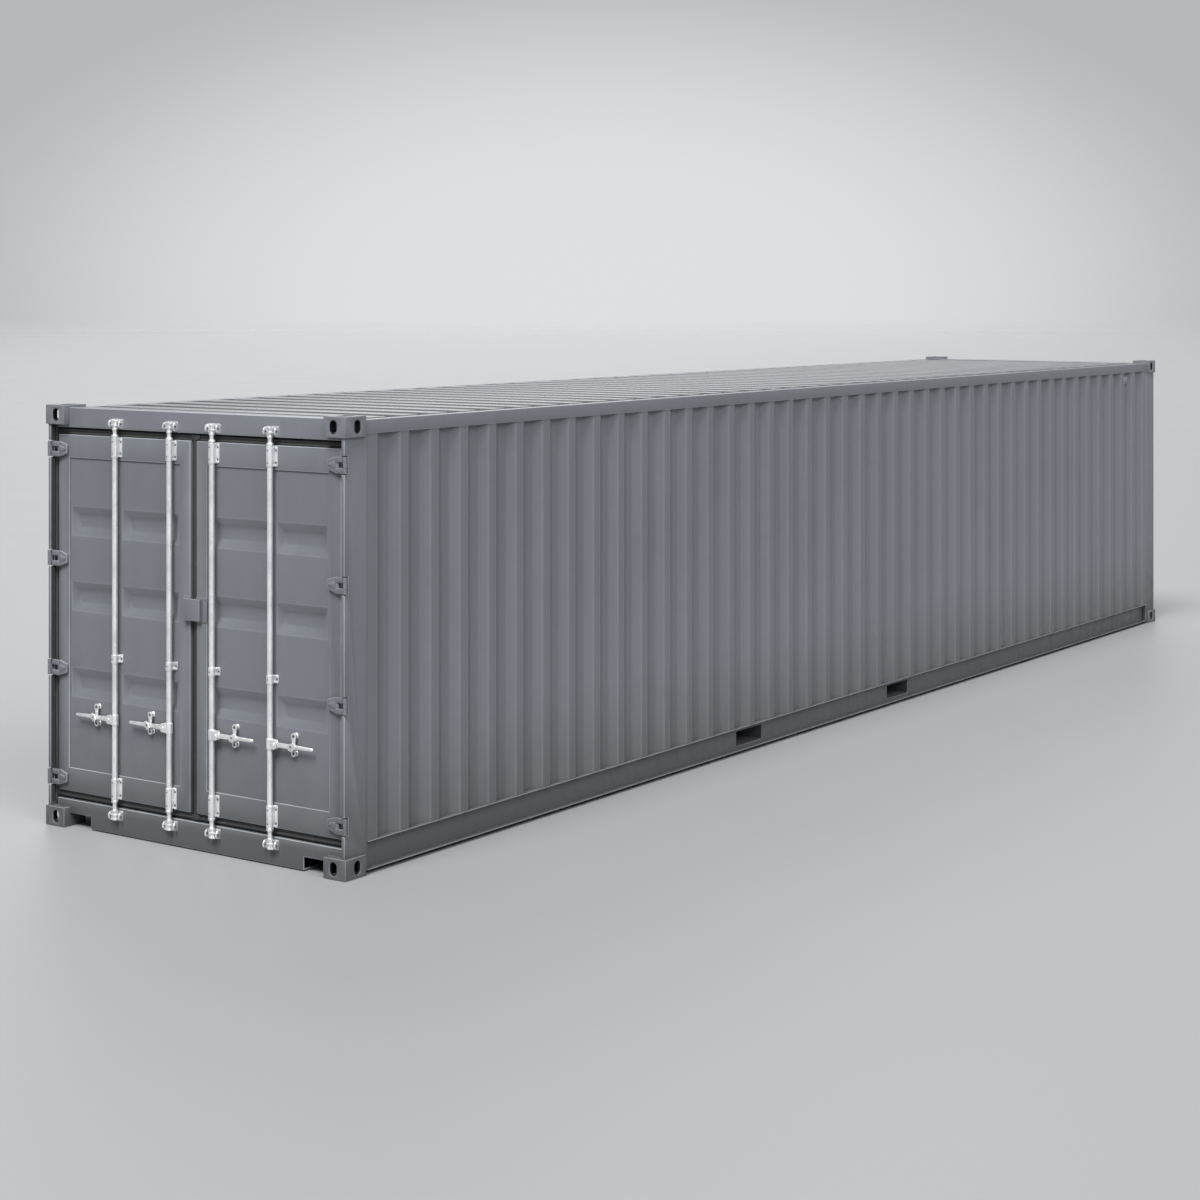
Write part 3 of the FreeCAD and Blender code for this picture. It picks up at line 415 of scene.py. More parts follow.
def softOutline(points, radius, steps=3):  # rounds every corner of an outline by up to the radius
    result = []
    for index, corner in enumerate(points):
        here = Vector(corner)
        before, after = Vector(points[index - 1]) - here, Vector(points[(index + 1) % len(points)]) - here
        reach = min(radius, before.length * 0.45, after.length * 0.45)
        start, end = here + before.normalized() * reach, here + after.normalized() * reach
        for step in range(steps + 1):
            part = step / steps
            result.append(tuple(start.lerp(here, part).lerp(here.lerp(end, part), part)))
    return result


def plateOutline(left, low, right, high, radius):  # a rectangle with rounded corners
    return softOutline([(left, low), (right, low), (right, high), (left, high)], radius)


def band(first, second, count):  # the faces between two rings of points that start at these two
    return [(first + k, first + (k + 1) % count, second + (k + 1) % count, second + k) for k in range(count)]


sharpAbove = 40  # degrees: the folds that a forged piece has softened


class Forge:  # one piece in the making: sizes in millimetres, mirrored for the left side
    def __init__(self, side=1):
        self.bm, self.side = bmesh.new(), side

    def put(self, points, faces):
        verts = [self.bm.verts.new((x * self.side / 1000, y / 1000, z / 1000)) for x, y, z in points]
        return [self.bm.faces.new([verts[index] for index in face]) for face in faces]

    def soften(self, faces, radius, steps):
        bmesh.ops.recalc_face_normals(self.bm, faces=faces)
        edges = {edge for face in faces for edge in face.edges}
        sharp = [e for e in edges if e.is_manifold and e.calc_face_angle(0) > math.radians(sharpAbove)]
        rounded(self.bm, sharp, radius / 1000, steps)

    def plate(self, outline, plane, start, end, soft=0.0, steps=2):  # an outline pulled along the third axis
        spot = {
            "XZ": lambda a, b, c: (a, c, b),
            "XY": lambda a, b, c: (a, b, c),
            "YZ": lambda a, b, c: (c, a, b),
        }[plane]
        count = len(outline)
        points = [spot(a, b, level) for level in (start, end) for a, b in outline]
        faces = [tuple(range(count)), tuple(reversed(range(count, 2 * count)))]
        made = self.put(points, faces + band(0, count, count))
        if soft:
            self.soften(made, soft, steps)

    def block(self, low, high, soft=0.0, steps=2):
        outline = [(low[0], low[1]), (high[0], low[1]), (high[0], high[1]), (low[0], high[1])]
        self.plate(outline, "XY", low[2], high[2], soft, steps)

    def spin(self, profile, centre, axis="z", steps=28, squash=1.0):  # profile: (along the axis, radius)
        x, y, z = centre
        points = []
        for along, radius in profile:
            for step in range(steps):
                turn = 2 * math.pi * step / steps
                across, up = math.cos(turn) * radius, math.sin(turn) * radius * squash
                spots = {"z": (x + across, y + up, z + along), "y": (x + across, y + along, z + up)}
                spots["x"] = (x + along, y + up, z + across)
                points.append(spots[axis])
        faces = [tuple(range(steps)), tuple(reversed(range(len(points) - steps, len(points))))]
        for ring in range(len(profile) - 1):
            faces += band(ring * steps, (ring + 1) * steps, steps)
        self.put(points, faces)

    def sleeve(self, centre, outer, inner, low, high, steps=28):  # an upright tube with softened rims
        x, y = centre
        rim = 1.2
        profile = [(low + rim, inner), (low, inner + rim), (low, outer - rim), (low + rim, outer)]
        profile += [(high - rim, outer), (high, outer - rim), (high, inner + rim), (high - rim, inner)]
        points, faces, count = [], [], len(profile)
        for step in range(steps):
            turn = 2 * math.pi * step / steps
            points += [(x + math.cos(turn) * r, y + math.sin(turn) * r, z) for z, r in profile]
            faces += band(step * count, (step + 1) % steps * count, count)
        self.put(points, faces)

    def bolt(self, centre, radius=7.0, height=4.5):  # a domed head that faces the door end
        profile = [(0, radius * 1.25), (-height * 0.25, radius * 1.25), (-height * 0.25, radius)]
        profile += [(-height * 0.7, radius * 0.86), (-height, radius * 0.4)]
        self.spin(profile, centre, "y", 12)

    def bead(self, path, size, seed=3, closed=False):  # a weld run with an uneven crest
        rough = random.Random(seed)
        line = [Vector(point) for point in path]
        count, points, faces = len(line), [], []
        for index, here in enumerate(line):
            ahead = line[(index + 1) % count if closed else min(index + 1, count - 1)]
            behind = line[index - 1 if closed or index else 0]
            along = (ahead - behind).normalized()
            side = along.orthogonal().normalized()
            other = along.cross(side)
            width = size * rough.uniform(0.85, 1.15)
            for turn in (0, 1.57, 3.14, 4.71):
                points.append(here + (side * math.cos(turn) + other * math.sin(turn)) * width)
            if closed or index < count - 1:
                faces += band(index * 4, (index + 1) % count * 4, 4)
        if not closed:
            faces += [(0, 1, 2, 3), tuple(reversed(range(count * 4 - 4, count * 4)))]
        self.put([tuple(p) for p in points], faces)

    def done(self, name, body, slot, nodes=()):
        finished(self.bm, name, body, slot, nodes)


# finishes a node's piece and the bolts on it
def fitted(forge, bolts, node, body, slot="zinc_steel", boltSlot="dark_bolts"):
    forge.done(plainName(node), body, slot, [node])
    bolts.done(plainName(node) + "Bolts", body, boltSlot)


endPlane = packedBox[0][1] * 1000


def depth(value):  # y of a point this far behind the door end
    return endPlane + value


def spanOf(node):  # a CAD node's lowest and highest corner, in millimetres
    low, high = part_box(node)
    return [c * 1000 for c in low], [c * 1000 for c in high]


sides = {"right": 1, "left": -1}
jointSpot = {joint["child"]: [c * 1000 for c in joint["pos_m"]] for joint in frame["joints"]}
rodPlaces = {place: abs(jointSpot[f"lock_rod_{place}_right"][0]) for place in ("inner", "outer")}
rodLine = jointSpot["lock_rod_inner_right"][1]
doorFace = spanOf("door_frame_right")[0][1]
panelFace = spanOf("door_panel_right")[0][1]
doorLow, doorHigh = spanOf("door_frame_right")[0][2], spanOf("door_frame_right")[1][2]

rodSizes = {
    "radius": 17,
    "neckRadius": 13.5,
    "ringRadius": 21,
    "camHeight": 36,
    "camFlange": 10,
    "collarRadius": 21.5,
    "collarHalf": 31,
    "hubReach": 58,
    "hubHalf": 27,
    "earDepths": ((3, 9), (25, 31)),
    "pinFrom": 42,
    # the cam's outline round the rod's axis, from its back lobe to its nose and back
    "clawNear": [(-18.5, -6), (-13, -13.5), (6, -18), (14, -11), (29, -11), (31, -4)],
    "clawFar": [(31, 6), (27, 11), (14, 11), (6, 18), (-13, 13.5), (-18.5, 6)],
}


def lockRod(place, sideName):
    size = rodSizes
    node = f"lock_rod_{place}_{sideName}"
    x, y = rodPlaces[place], rodLine
    low, high = spanOf(node)[0][2], spanOf(node)[1][2]
    radius, neck, ring = size["radius"], size["neckRadius"], size["ringRadius"]
    forge = Forge(sides[sideName])
    guideLow, guideHigh = doorLow + 4, doorHigh - 4
    # distances from the rod's end, and then from the guide, with the radius at each
    fromEnd = [(20, neck), (50, neck), (52, neck + 4), (62, neck + 4), (64, neck)]
    fromGuide = [(20, neck), (17, ring - 1), (15, ring), (4, ring), (2, ring - 1.5), (1, radius)]
    profile = [(low + along, wide) for along, wide in fromEnd]
    profile += [(guideLow - along, wide) for along, wide in fromGuide]
    profile += [(guideHigh + along, wide) for along, wide in reversed(fromGuide)]
    profile += [(high - along, wide) for along, wide in reversed(fromEnd)]
    forge.spin(profile, (x, y, 0), steps=32)
    claw = softOutline(size["clawNear"] + size["clawFar"], 5)
    for start in (low, high - size["camHeight"]):
        end, flange = start + size["camHeight"], size["camFlange"]
        outline = [(x + a, y + b) for a, b in claw]
        core = [(x + a * 0.8, y + b * 0.8) for a, b in claw]
        forge.plate(outline, "XY", start, start + flange, 1.5)
        forge.plate(core, "XY", start + flange - 1, end - flange + 1)
        forge.plate(outline, "XY", end - flange, end, 1.5)
        forge.spin([(-1, 6), (-1, 3)], (x, y, start if start == low else end + 1), "z", 12)
    level = jointSpot[f"handle_{place}_{sideName}"][2]
    half, collar = size["collarHalf"], size["collarRadius"]
    wall = [(-half, radius), (-half, collar - 1.5), (-half + 1.5, collar), (half - 1.5, collar)]
    forge.spin(wall + [(half, collar - 1.5), (half, radius)], (x, y, level), steps=32)
    hubLow, hubHigh = level - size["hubHalf"], level + size["hubHalf"]
    reach = x + size["hubReach"]
    ear = [(x + 4, hubLow), (reach - 8, hubLow), (reach, hubLow + 10)]
    ear += [(reach, hubHigh - 10), (reach - 8, hubHigh), (x + 4, hubHigh)]
    ear = softOutline(ear, 7)
    for near, far in size["earDepths"]:
        forge.plate(ear, "XZ", depth(near), depth(far), 1.2)
    forge.block((x + 12, depth(7), hubLow + 3), (x + 22, depth(27), hubHigh - 3))
    pin = x + size["pinFrom"]
    forge.spin([(1, 6), (-1, 6), (32, 6), (33, 5)], (pin, depth(1), level), "y", 16)
    forge.bolt((pin, depth(3), level), 8, 3)
    forge.done(plainName(node), node, "zinc_steel", [node])


handleSizes = {
    "reach": 331,
    "catch": 171,
    "shankHalf": 12,
    "gripRadius": 12.5,
    "gripEnd": 9,
    "eyeRadius": 15,
    "collarHalf": 15.5,
    "clampHalf": 11,
    "clampReach": 27,
    "clampLean": 38,
    "middle": 17,
}


def lockHandle(place, sideName):
    size = handleSizes
    node = f"handle_{place}_{sideName}"
    x = rodPlaces[place]
    level = jointSpot[node][2]
    pin, catch, end = x + rodSizes["pinFrom"], x + size["catch"], x + size["reach"]
    middle = depth(size["middle"])
    forge = Forge(sides[sideName])
    eye, half = size["eyeRadius"], size["shankHalf"]
    turns = [step * math.pi / 8 for step in range(4, 13)]
    outline = [(pin + math.cos(turn) * eye, level + math.sin(turn) * eye) for turn in turns]
    outline += [(catch - 22, level - half), (catch - 22, level + half)]
    forge.plate(outline, "XZ", middle - 6.5, middle + 6.5, 2.5)
    low, high = level - size["collarHalf"], level + size["collarHalf"]
    block = [(catch - 26, low + 3), (catch - 18, low), (catch + 22, low), (catch + 32, low + 5)]
    block += [(catch + 32, high - 4), (catch + 22, high), (catch - 18, high), (catch - 26, high - 3)]
    forge.plate(block, "XZ", middle - 8.5, middle + 8.5, 2.5)
    start, tip = catch + 28, size["gripEnd"]
    grip = size["gripRadius"]
    profile = [(0, grip - 3), (3, grip), (14, grip), (end - start - 8, tip + 1), (end - start - 2, tip - 1)]
    forge.spin(profile + [(end - start, tip - 4)], (start, middle, level), "x", 20, 0.68)
    wide, tall = size["clampReach"], size["clampHalf"]
    clamp = [(-wide, -6), (-8, -tall), (10, -tall), (wide, -5), (wide, 5), (10, tall), (-8, tall), (-wide, 6)]
    lean = math.radians(size["clampLean"])
    sine, cosine = math.sin(lean), math.cos(lean)
    turned = [
        (catch + a * sine - b * cosine, level + 2 + a * cosine + b * sine) for a, b in softOutline(clamp, 5)
    ]
    forge.plate(turned, "XZ", middle - 14, middle - 7, 1.5)
    forge.done(plainName(node), node, "zinc_steel", [node])
    bolts = Forge(sides[sideName])
    bolts.bolt((catch, middle - 13.5, level + 2), 5.5, 3)
    bolts.done(plainName(node) + "Bolt", node, "dark_bolts")


catchSizes = {"offset": 171, "rise": 50, "over": 9, "lobe": 19, "waist": 11, "face": 30, "thickness": 8}


def handleCatches(sideName):
    size = catchSizes
    forge, bolts = Forge(sides[sideName]), Forge(sides[sideName])
    for place, x in rodPlaces.items():
        centre = x + size["offset"]
        handleLevel = jointSpot[f"handle_{place}_{sideName}"][2]
        level, rise, lobe, waist = handleLevel + size["over"], size["rise"], size["lobe"], size["waist"]
        front, back = depth(size["face"]), depth(size["face"] + size["thickness"])
        outline = []
        for sign in (1, -1):
            for step in range(9):
                turn = math.radians(-30 + 240 * step / 8)
                up = (rise + math.sin(turn) * lobe) * sign
                outline.append((centre + math.cos(turn) * lobe * sign, level + up))
            outline += [(centre - waist * sign, level + up * sign) for up in (14, -14)]
        forge.plate(outline, "XZ", front, back, 1.5)
        seat = panelFace - back
        boss = [(0, lobe - 5), (seat - 2, lobe - 5), (seat + 1, lobe - 2)]
        for sign in (-1, 1):
            forge.spin(boss, (centre, back - 1, level + rise * sign), "y", 20)
            bolts.bolt((centre, front, level + rise * sign), 7.5, 2.5)
        shelf = handleLevel - 21
        hook = [(front, shelf - 12), (depth(12), shelf - 8), (depth(8), shelf - 5), (depth(6), shelf + 6)]
        hook += [(depth(10), shelf + 6), (depth(12), shelf), (front, shelf)]
        forge.plate(hook, "YZ", centre - 11, centre + 11, 1.2)
    fitted(forge, bolts, f"handle_catches_{sideName}", f"door_{sideName}")


guideSizes = {
    "footHalf": 40,
    "footThickness": 5,
    "neckHalf": 13,
    "outer": 21.5,
    "bore": 17.5,
    "tall": 128,
    "high": 119,
    "short": 50,
    "shortLevel": 1070,
    "boltInset": 29,
}


def rodGuides(sideName):
    size = guideSizes
    forge, bolts = Forge(sides[sideName]), Forge(sides[sideName])
    middle = size["shortLevel"] - size["short"] / 2
    places = [
        (doorLow + 4, size["tall"], doorFace),
        (middle, size["short"], panelFace),
        (doorHigh - 4 - size["high"], size["high"], doorFace),
    ]
    for x in rodPlaces.values():
        for low, height, seat in places:
            high, reach = low + height, size["footHalf"]
            foot = plateOutline(x - reach, low, x + reach, high, 9)
            forge.plate(foot, "XZ", seat - size["footThickness"], seat - 0.2, 1.2)
            forge.sleeve((x, rodLine), size["outer"], size["bore"], low, high, 32)
            neck, inner = size["neckHalf"], rodLine + size["bore"] + 2
            forge.block((x - neck, inner, low + 2), (x + neck, seat - 2, high - 2))
            wide, top = neck + 14, rodLine + 8
            rib = [(x - wide, seat - 4), (x + wide, seat - 4), (x + 18, top), (x - 18, top)]
            for end in (low + 6, high - 9):  # ribs from the foot up to the sleeve
                forge.plate(rib, "XY", end, end + 3)
            levels = [low + height / 2] if height < 60 else [low + 24, high - 24]
            for level in levels:
                for sign in (-1, 1):
                    bolts.bolt((x + size["boltInset"] * sign, seat - size["footThickness"], level), 5.5, 4)
                bolts.bolt((x, rodLine - size["outer"] + 0.8, level), 4.5, 1.6)
    fitted(forge, bolts, f"rod_guides_{sideName}", f"door_{sideName}")


keeperSizes = {"reach": 48, "cheek": 10, "foot": 3, "nose": 8, "bolt": 6}


def keepers(node):
    size = keeperSizes
    low, high = spanOf(node)[0][2], spanOf(node)[1][2]
    middle = (low + high) / 2
    forge, bolts = Forge(), Forge()
    for sign in (-1, 1):
        for x in (place * sign for place in rodPlaces.values()):
            reach, foot = size["reach"], doorFace - size["foot"]
            outline = plateOutline(x - reach, low, x + reach, high, 10)
            forge.plate(outline, "XZ", foot, doorFace - 0.1, 1)
            nose = depth(size["nose"])
            cheek = [(foot + 1, low + 2), (nose + 12, low + 6), (nose, low + 18), (nose, high - 18)]
            cheek = softOutline(cheek + [(nose + 12, high - 6), (foot + 1, high - 2)], 9)
            for start in (x - reach, x + reach - size["cheek"]):
                forge.plate(cheek, "YZ", start, start + size["cheek"], 1.6)
                head, end = size["bolt"], size["cheek"] + 1.5
                through = [(-1.5, 5), (-1.5, head), (end, head), (end, 5)]
                bolts.spin(through, (start, nose + 14, middle), "x", 14)
    fitted(forge, bolts, node, "container")


hingeSizes = {
    "half": 46.5,
    "first": 81,
    "last": 90,
    "edge": 6,
    "shoulder": 26,
    "reach": 88,
    "tip": 0.6,
    "knuckle": 12,
    "bore": 8.3,
    "window": 16.5,
    "bladeFront": 27,
    "ribFront": 24.5,
    "ribShare": 0.45,
}


def hingeLevels():  # the middles of the four hinges
    lowest, highest = doorLow + hingeSizes["first"], doorHigh - hingeSizes["last"]
    return [lowest + (highest - lowest) * step / 3 for step in range(4)]


def hingeBlades(sideName):
    size = hingeSizes
    forge, bolts = Forge(sides[sideName]), Forge(sides[sideName])
    pinX, pinY = abs(jointSpot["door_right"][0]), jointSpot["door_right"][1]
    edge = spanOf("door_frame_right")[1][0]
    half = size["half"]
    for step, level in enumerate(hingeLevels()):
        root, shoulder, tip = edge - size["edge"], edge - size["shoulder"], edge - size["reach"]
        point = half * size["tip"]
        outline = [(root, level - half), (shoulder, level - half), (tip, level - point), (tip, level + point)]
        outline = softOutline(outline + [(shoulder, level + half), (root, level + half)], 5)
        forge.plate(outline, "XZ", depth(size["bladeFront"]), doorFace - 0.1, 2.5, 3)
        wide = half * size["ribShare"]
        rib = [(root - 8, level - wide), (tip + 16, level - 9)]
        rib += [(tip + 16, level + 9), (root - 8, level + wide)]
        forge.plate(softOutline(rib, 7), "XZ", depth(size["ribFront"]), depth(29), 2)
        bolts.bolt((edge - 70, depth(size["ribFront"]), level), 6.5, 3)
        for sign in (-1, 1):
            near, far = level + size["window"] * sign, level + half * sign
            low, high = min(near, far), max(near, far)
            forge.block((shoulder + 2, depth(21), low), (pinX - 5, depth(33), high), 1.5)
            forge.sleeve((pinX, pinY), size["knuckle"], size["bore"], low, high, 20)
            forge.bead([(shoulder + 1, depth(28), low + k * (high - low) / 6) for k in range(7)], 3.5, step)
    fitted(forge, bolts, f"hinge_blades_{sideName}", f"door_{sideName}", "painted_steel", "painted_steel")


gasketSizes = {
    # share of the strip's width, depth behind the door end: two lips with a hollow between them
    "nearLip": [(0, 61), (0.12, 58.6), (0.24, 59), (0.32, 63), (0.48, 64)],
    "farLip": [(0.58, 60), (0.70, 58.2), (0.82, 59.5), (0.93, 64), (1.0, 68.5)],
    "back": [(0.97, 72.5), (0.9, 74), (0, 74)],
    "beadHalf": 17,
    "beadDepth": 8,
    "rivetPitch": 150,
    "rivet": [(0, 5), (1.5, 4.6), (2.6, 2.5)],
    "stripDepth": 74,
    "stripWidth": 14,
    "stripThickness": 2.5,
}


def doorGasket(sideName):
    size, side = gasketSizes, sides[sideName]
    node = f"door_gasket_{sideName}"
    low, high = spanOf(node)
    doorSpan = spanOf("door_frame_right")
    near, far = doorSpan[0][0], doorSpan[1][0]
    outer = max(abs(low[0]), abs(high[0]))
    corners = [  # inner point, outer point
        ((near, doorLow), (near, low[2])),
        ((far, doorLow), (outer, low[2])),
        ((far, doorHigh), (outer, high[2])),
        ((near, doorHigh), (near, high[2])),
    ]
    forge = Forge(side)
    section = size["nearLip"] + size["farLip"] + size["back"]
    points = []
    for (innerX, innerZ), (outerX, outerZ) in corners:
        for share, behind in section:
            x, z = innerX + (outerX - innerX) * share, innerZ + (outerZ - innerZ) * share
            points.append((x, depth(behind), z))
    count = len(section)
    faces = [tuple(range(count)), tuple(reversed(range(3 * count, 4 * count)))]
    for leg in range(3):
        faces += band(leg * count, (leg + 1) * count, count)
    forge.put(points, faces)
    if sideName == "right":  # the bead that closes the gap between the doors
        half, deep = size["beadHalf"], size["beadDepth"]
        turns = [step * math.pi / 8 for step in range(16)]
        outline = [(math.cos(turn) * half, depth(66) + math.sin(turn) * deep) for turn in turns]
        forge.plate(outline, "XY", low[2] + 1, high[2] - 1, 1.5)
        forge.block((8, depth(63), doorLow), (near, depth(71), doorHigh), 1)
        for level in (low[2] + 2, doorHigh + 3):
            pad = [(-24, level), (24, level), (44, level + 12), (44, level + 33), (-24, level + 33)]
            forge.plate(softOutline(pad, 8), "XZ", depth(55.5), depth(66), 2)
    forge.done(plainName(node), f"door_{sideName}", "seal_rubber", [node])
    rivets = Forge(side)
    front, wide, pitch = depth(size["stripDepth"]), size["stripWidth"], size["rivetPitch"]
    back = front + size["stripThickness"]
    for level in (doorHigh + 4, doorLow - 18):
        rivets.block((near + 6, front, level), (far - 6, back, level + wide), 0.6, 1)
        for step in range(int((far - near - 60) / pitch) + 1):
            rivets.spin(size["rivet"], (near + 40 + step * pitch, back, level + wide / 2), "y", 10)
    rivets.block((far + 5, front, doorLow + 4), (far + 17, back, doorHigh - 4), 0.6, 1)
    for step in range(int((doorHigh - doorLow - 60) / pitch) + 1):
        rivets.spin(size["rivet"], (far + 11, back, doorLow + 40 + step * pitch), "y", 10)
    rivets.done(plainName(node) + "Strips", f"door_{sideName}", "zinc_steel")


def stitched(line, pitch):  # splits a path so that a bead can vary along it
    path = []
    for start, end in zip(line, line[1:]):
        start, end = Vector(start), Vector(end)
        count = max(1, int((end - start).length / pitch))
        path += [tuple(start.lerp(end, step / count)) for step in range(count)]
    return path + [tuple(line[-1])]


jambSizes = {"thickness": 2.5, "start": 12, "end": 49, "notch": 4, "rib": 3}


def jambSeal(sideName):  # ribbed rubber on the post's leg, broken at each hinge
    size, forge = jambSizes, Forge(sides[sideName])
    leg = spanOf("hinge_mounts_right")[0][0] - 6
    half = hingeSizes["half"] + size["notch"]
    levels = hingeLevels()
    starts = [spanOf("door_sill")[1][2] - 25] + [level + half for level in levels]
    ends = [level - half for level in levels] + [spanOf("door_header")[0][2] + 25]
    inner = leg - size["thickness"]
    rib, smallRib = inner - size["rib"], inner - size["rib"] / 2
    start, end = size["start"], size["end"]
    section = [(leg, start), (leg, end), (inner, end), (inner, 38), (rib, 36), (rib, 32)]
    section += [(inner, 30), (inner, 24), (smallRib, 22), (inner, 20), (inner, start)]
    outline = [(x, depth(behind)) for x, behind in section]
    for low, high in zip(starts, ends):
        forge.plate(outline, "XY", low, high, 0.4, 1)
    forge.done(f"jambSeal{sideName.title()}", "container", "seal_rubber")


lockBoxSizes = {
    "hood": (-58, 74),
    "plate": (26, 112),
    "slot": (-50, -16),
    "wall": 4,
    "front": 27,
    "margin": 11,
    "eye": 34,
    "eyeLevels": (40, 80),
    "seat": 4,
}


# a plate on the right door whose hood shields the padlock, and a plate behind it on the left door
def lockBoxHood():
    size = lockBoxSizes
    low, high = spanOf("lock_box")
    left, right = size["hood"]
    bottom, top = low[2] + size["margin"] - 3, high[2] - size["margin"]
    front, wall, back = doorFace - size["front"], size["wall"], doorFace - 6
    forge, bolts = Forge(), Forge()
    plateLeft, plateRight = size["plate"]
    seat = doorFace - size["seat"]
    plate = plateOutline(plateLeft, low[2], plateRight, high[2], 7)
    forge.plate(plate, "XZ", seat, doorFace + 0.5, 1.2, 2)
    forge.plate(plateOutline(left, bottom, right, top, 4), "XZ", front, front + wall, 1.5, 2)
    forge.block((right - wall, front + 1, bottom + 1), (right, doorFace - 3, top - 1), 0.8, 1)
    forge.block((left, front + 1, bottom + 1), (left + wall, back, top - 1), 0.8, 1)
    forge.block((size["slot"][1], front + 1, top - wall), (right, back, top), 0.8, 1)
    forge.block((left, front + 1, top - wall), (size["slot"][0], back, top), 0.8, 1)
    eye, (eyeLow, eyeHigh) = size["eye"], size["eyeLevels"]
    forge.block((eye, front + 1, bottom + eyeLow), (eye + wall, doorFace - 3, bottom + eyeHigh), 0.6, 1)
    forge.bead(stitched([(right + 1, doorFace - 5, bottom), (right + 1, doorFace - 5, top)], 7), 2.4, 4)
    for z in (low[2] + 10, high[2] - 10):
        bolts.bolt((plateRight - 12, seat, z), 5, 2.5)
    fitted(forge, bolts, "lock_box", "door_right", "painted_steel", "painted_steel")
    low, high = spanOf("lock_plate_left")
    forge = Forge()
    plate = plateOutline(low[0], low[2], high[0] + 3, high[2], 5)
    forge.plate(plate, "XZ", seat, doorFace + 0.5, 1.2, 2)
    for z in (low[2] + 12, high[2] - 12):
        forge.spin([(0, 4.5), (-1.4, 4), (-2.2, 2)], (low[0] + 9, seat, z), "y", 10)
    forge.done("lockPlateLeft", "door_left", "painted_steel", ["lock_plate_left"])


for sideName in sides:
    jambSeal(sideName)
    for place in rodPlaces:
        lockRod(place, sideName)
        lockHandle(place, sideName)
    handleCatches(sideName)
    rodGuides(sideName)
    hingeBlades(sideName)
    doorGasket(sideName)
lockBoxHood()
keepers("header_keepers")
keepers("sill_keepers")
print("door hardware forged")


boardSizes = {"lanes": 8, "length": 2390, "gap": 2.5, "chamfer": 1.2, "postGap": 4}
screwSizes = {"pitch": 305, "radius": 7, "inset": 30, "start": 40}


def deckBoards():  # the floor as separate boards, with screw heads set into them
    size = boardSizes
    low, high = spanOf("floor")
    postEdge = spanOf("front_post_right")[0][0]
    notchStart = spanOf("front_post_right")[0][1]
    width = (high[0] - low[0]) / size["lanes"]
    forge, screws = Forge(), Forge()
    shade = forge.bm.faces.layers.float.new("board")
    tint = random.Random(11)
    for lane in range(size["lanes"]):
        left = low[0] + lane * width + size["gap"] / 2
        right = left + width - size["gap"]
        start = low[1]
        run = size["length"] * (0.5 if lane % 2 else 1)
        while start < high[1] - 1:
            end = min(start + run, high[1])
            spans = [(left, right, start, end - size["gap"])]
            if lane in (0, size["lanes"] - 1) and end > notchStart:  # beside the closed end's posts
                clear = postEdge - size["postGap"]
                inner = (left, clear) if lane else (-clear, right)
                spans = [(left, right, start, notchStart - 3), (*inner, notchStart - 3, end - size["gap"])]
            before = set(forge.bm.faces)
            for x0, x1, y0, y1 in spans:
                forge.block((x0, y0, low[2]), (x1, y1, high[2]), size["chamfer"], 1)
            value = tint.random()
            for face in set(forge.bm.faces) - before:
                face[shade] = value
            radius, pitch, inset = screwSizes["radius"], screwSizes["pitch"], screwSizes["inset"]
            rows = int((spans[0][3] - start - 60) / pitch) + 1
            for x in (left + inset, right - inset):
                for row in range(max(rows, 1)):
                    spot = (x, start + screwSizes["start"] + row * pitch, high[2])
                    screws.spin([(-3, radius), (0.15, radius - 0.5)], spot, "z", 8)
            start, run = end, size["length"]
    forge.done("deckBoards", "container", "deck_plywood", ["floor"])
    screws.done("deckScrews", "container", "dark_bolts")


ventSizes = {
    "flange": 9,
    "flangeThickness": 1.6,
    "slots": 5,
    "slotGap": 7,
    "slotLow": 8,
    "slotHigh": 26,
    "rivet": [(0, 3), (1.2, 2.6), (1.8, 1.2)],
}


def vents():  # a pressed hood over a flange, with five louvre bars across its face
    size = ventSizes
    low, high = spanOf("vents")
    wall = spanOf("side_panel_right")[1][0]
    for sideName, side in sides.items():
        forge = Forge(side)
        edge = size["flange"]
        seat, foot = wall + size["flangeThickness"], low[2] + edge
        forge.plate(plateOutline(low[1], low[2], high[1], high[2], 8), "YZ", wall - 0.5, seat, 0.5, 1)
        hood = [(wall + 1, foot), (high[0], foot), (high[0], high[2] - edge - 8)]
        hood += [(high[0] - 4, high[2] - edge), (wall + 1, high[2] - edge)]
        forge.plate(hood, "XZ", low[1] + edge, high[1] - edge, 1.6)
        step = (high[1] - low[1] - 2 * edge - 12) / size["slots"]
        for slot in range(size["slots"]):
            start = low[1] + edge + 8 + slot * step
            corner = (high[0], start + step - size["slotGap"], foot + size["slotHigh"])
            forge.block((high[0] - 0.6, start, foot + size["slotLow"]), corner, 0.3, 1)
        for y in (low[1] + 5, high[1] - 5):
            for z in (low[2] + 5, high[2] - 5):
                forge.spin(size["rivet"], (seat, y, z), "x", 10)
        forge.done(f"vent{sideName.title()}", "container", "painted_steel", ["vents"])


def foldLine(node, height):  # the outer corners of a folded sheet, along its length, at one height
    low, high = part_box(node)
    data = frame["nodes"][node].data
    across = 0 if high[0] - low[0] < high[1] - low[1] else 1
    along = 1 - across
    outward = 1 if low[across] + high[across] > 0 else -1
    spots = {}
    for vertex in data.vertices:
        key = round(vertex.co[along], 3)
        value = vertex.co[across] * outward
        if abs(vertex.co.z - low.z) < 0.001 and (key not in spots or value > spots[key]):
            spots[key] = value
    line = []
    for key, value in sorted(spots.items()):
        point = [0, 0, height]
        point[across], point[along] = value * outward * 1000, key * 1000
        line.append(tuple(point))
    return line


weldSizes = {"sheet": 4.0, "frame": 3.0, "stitch": 26, "postReturn": 21}


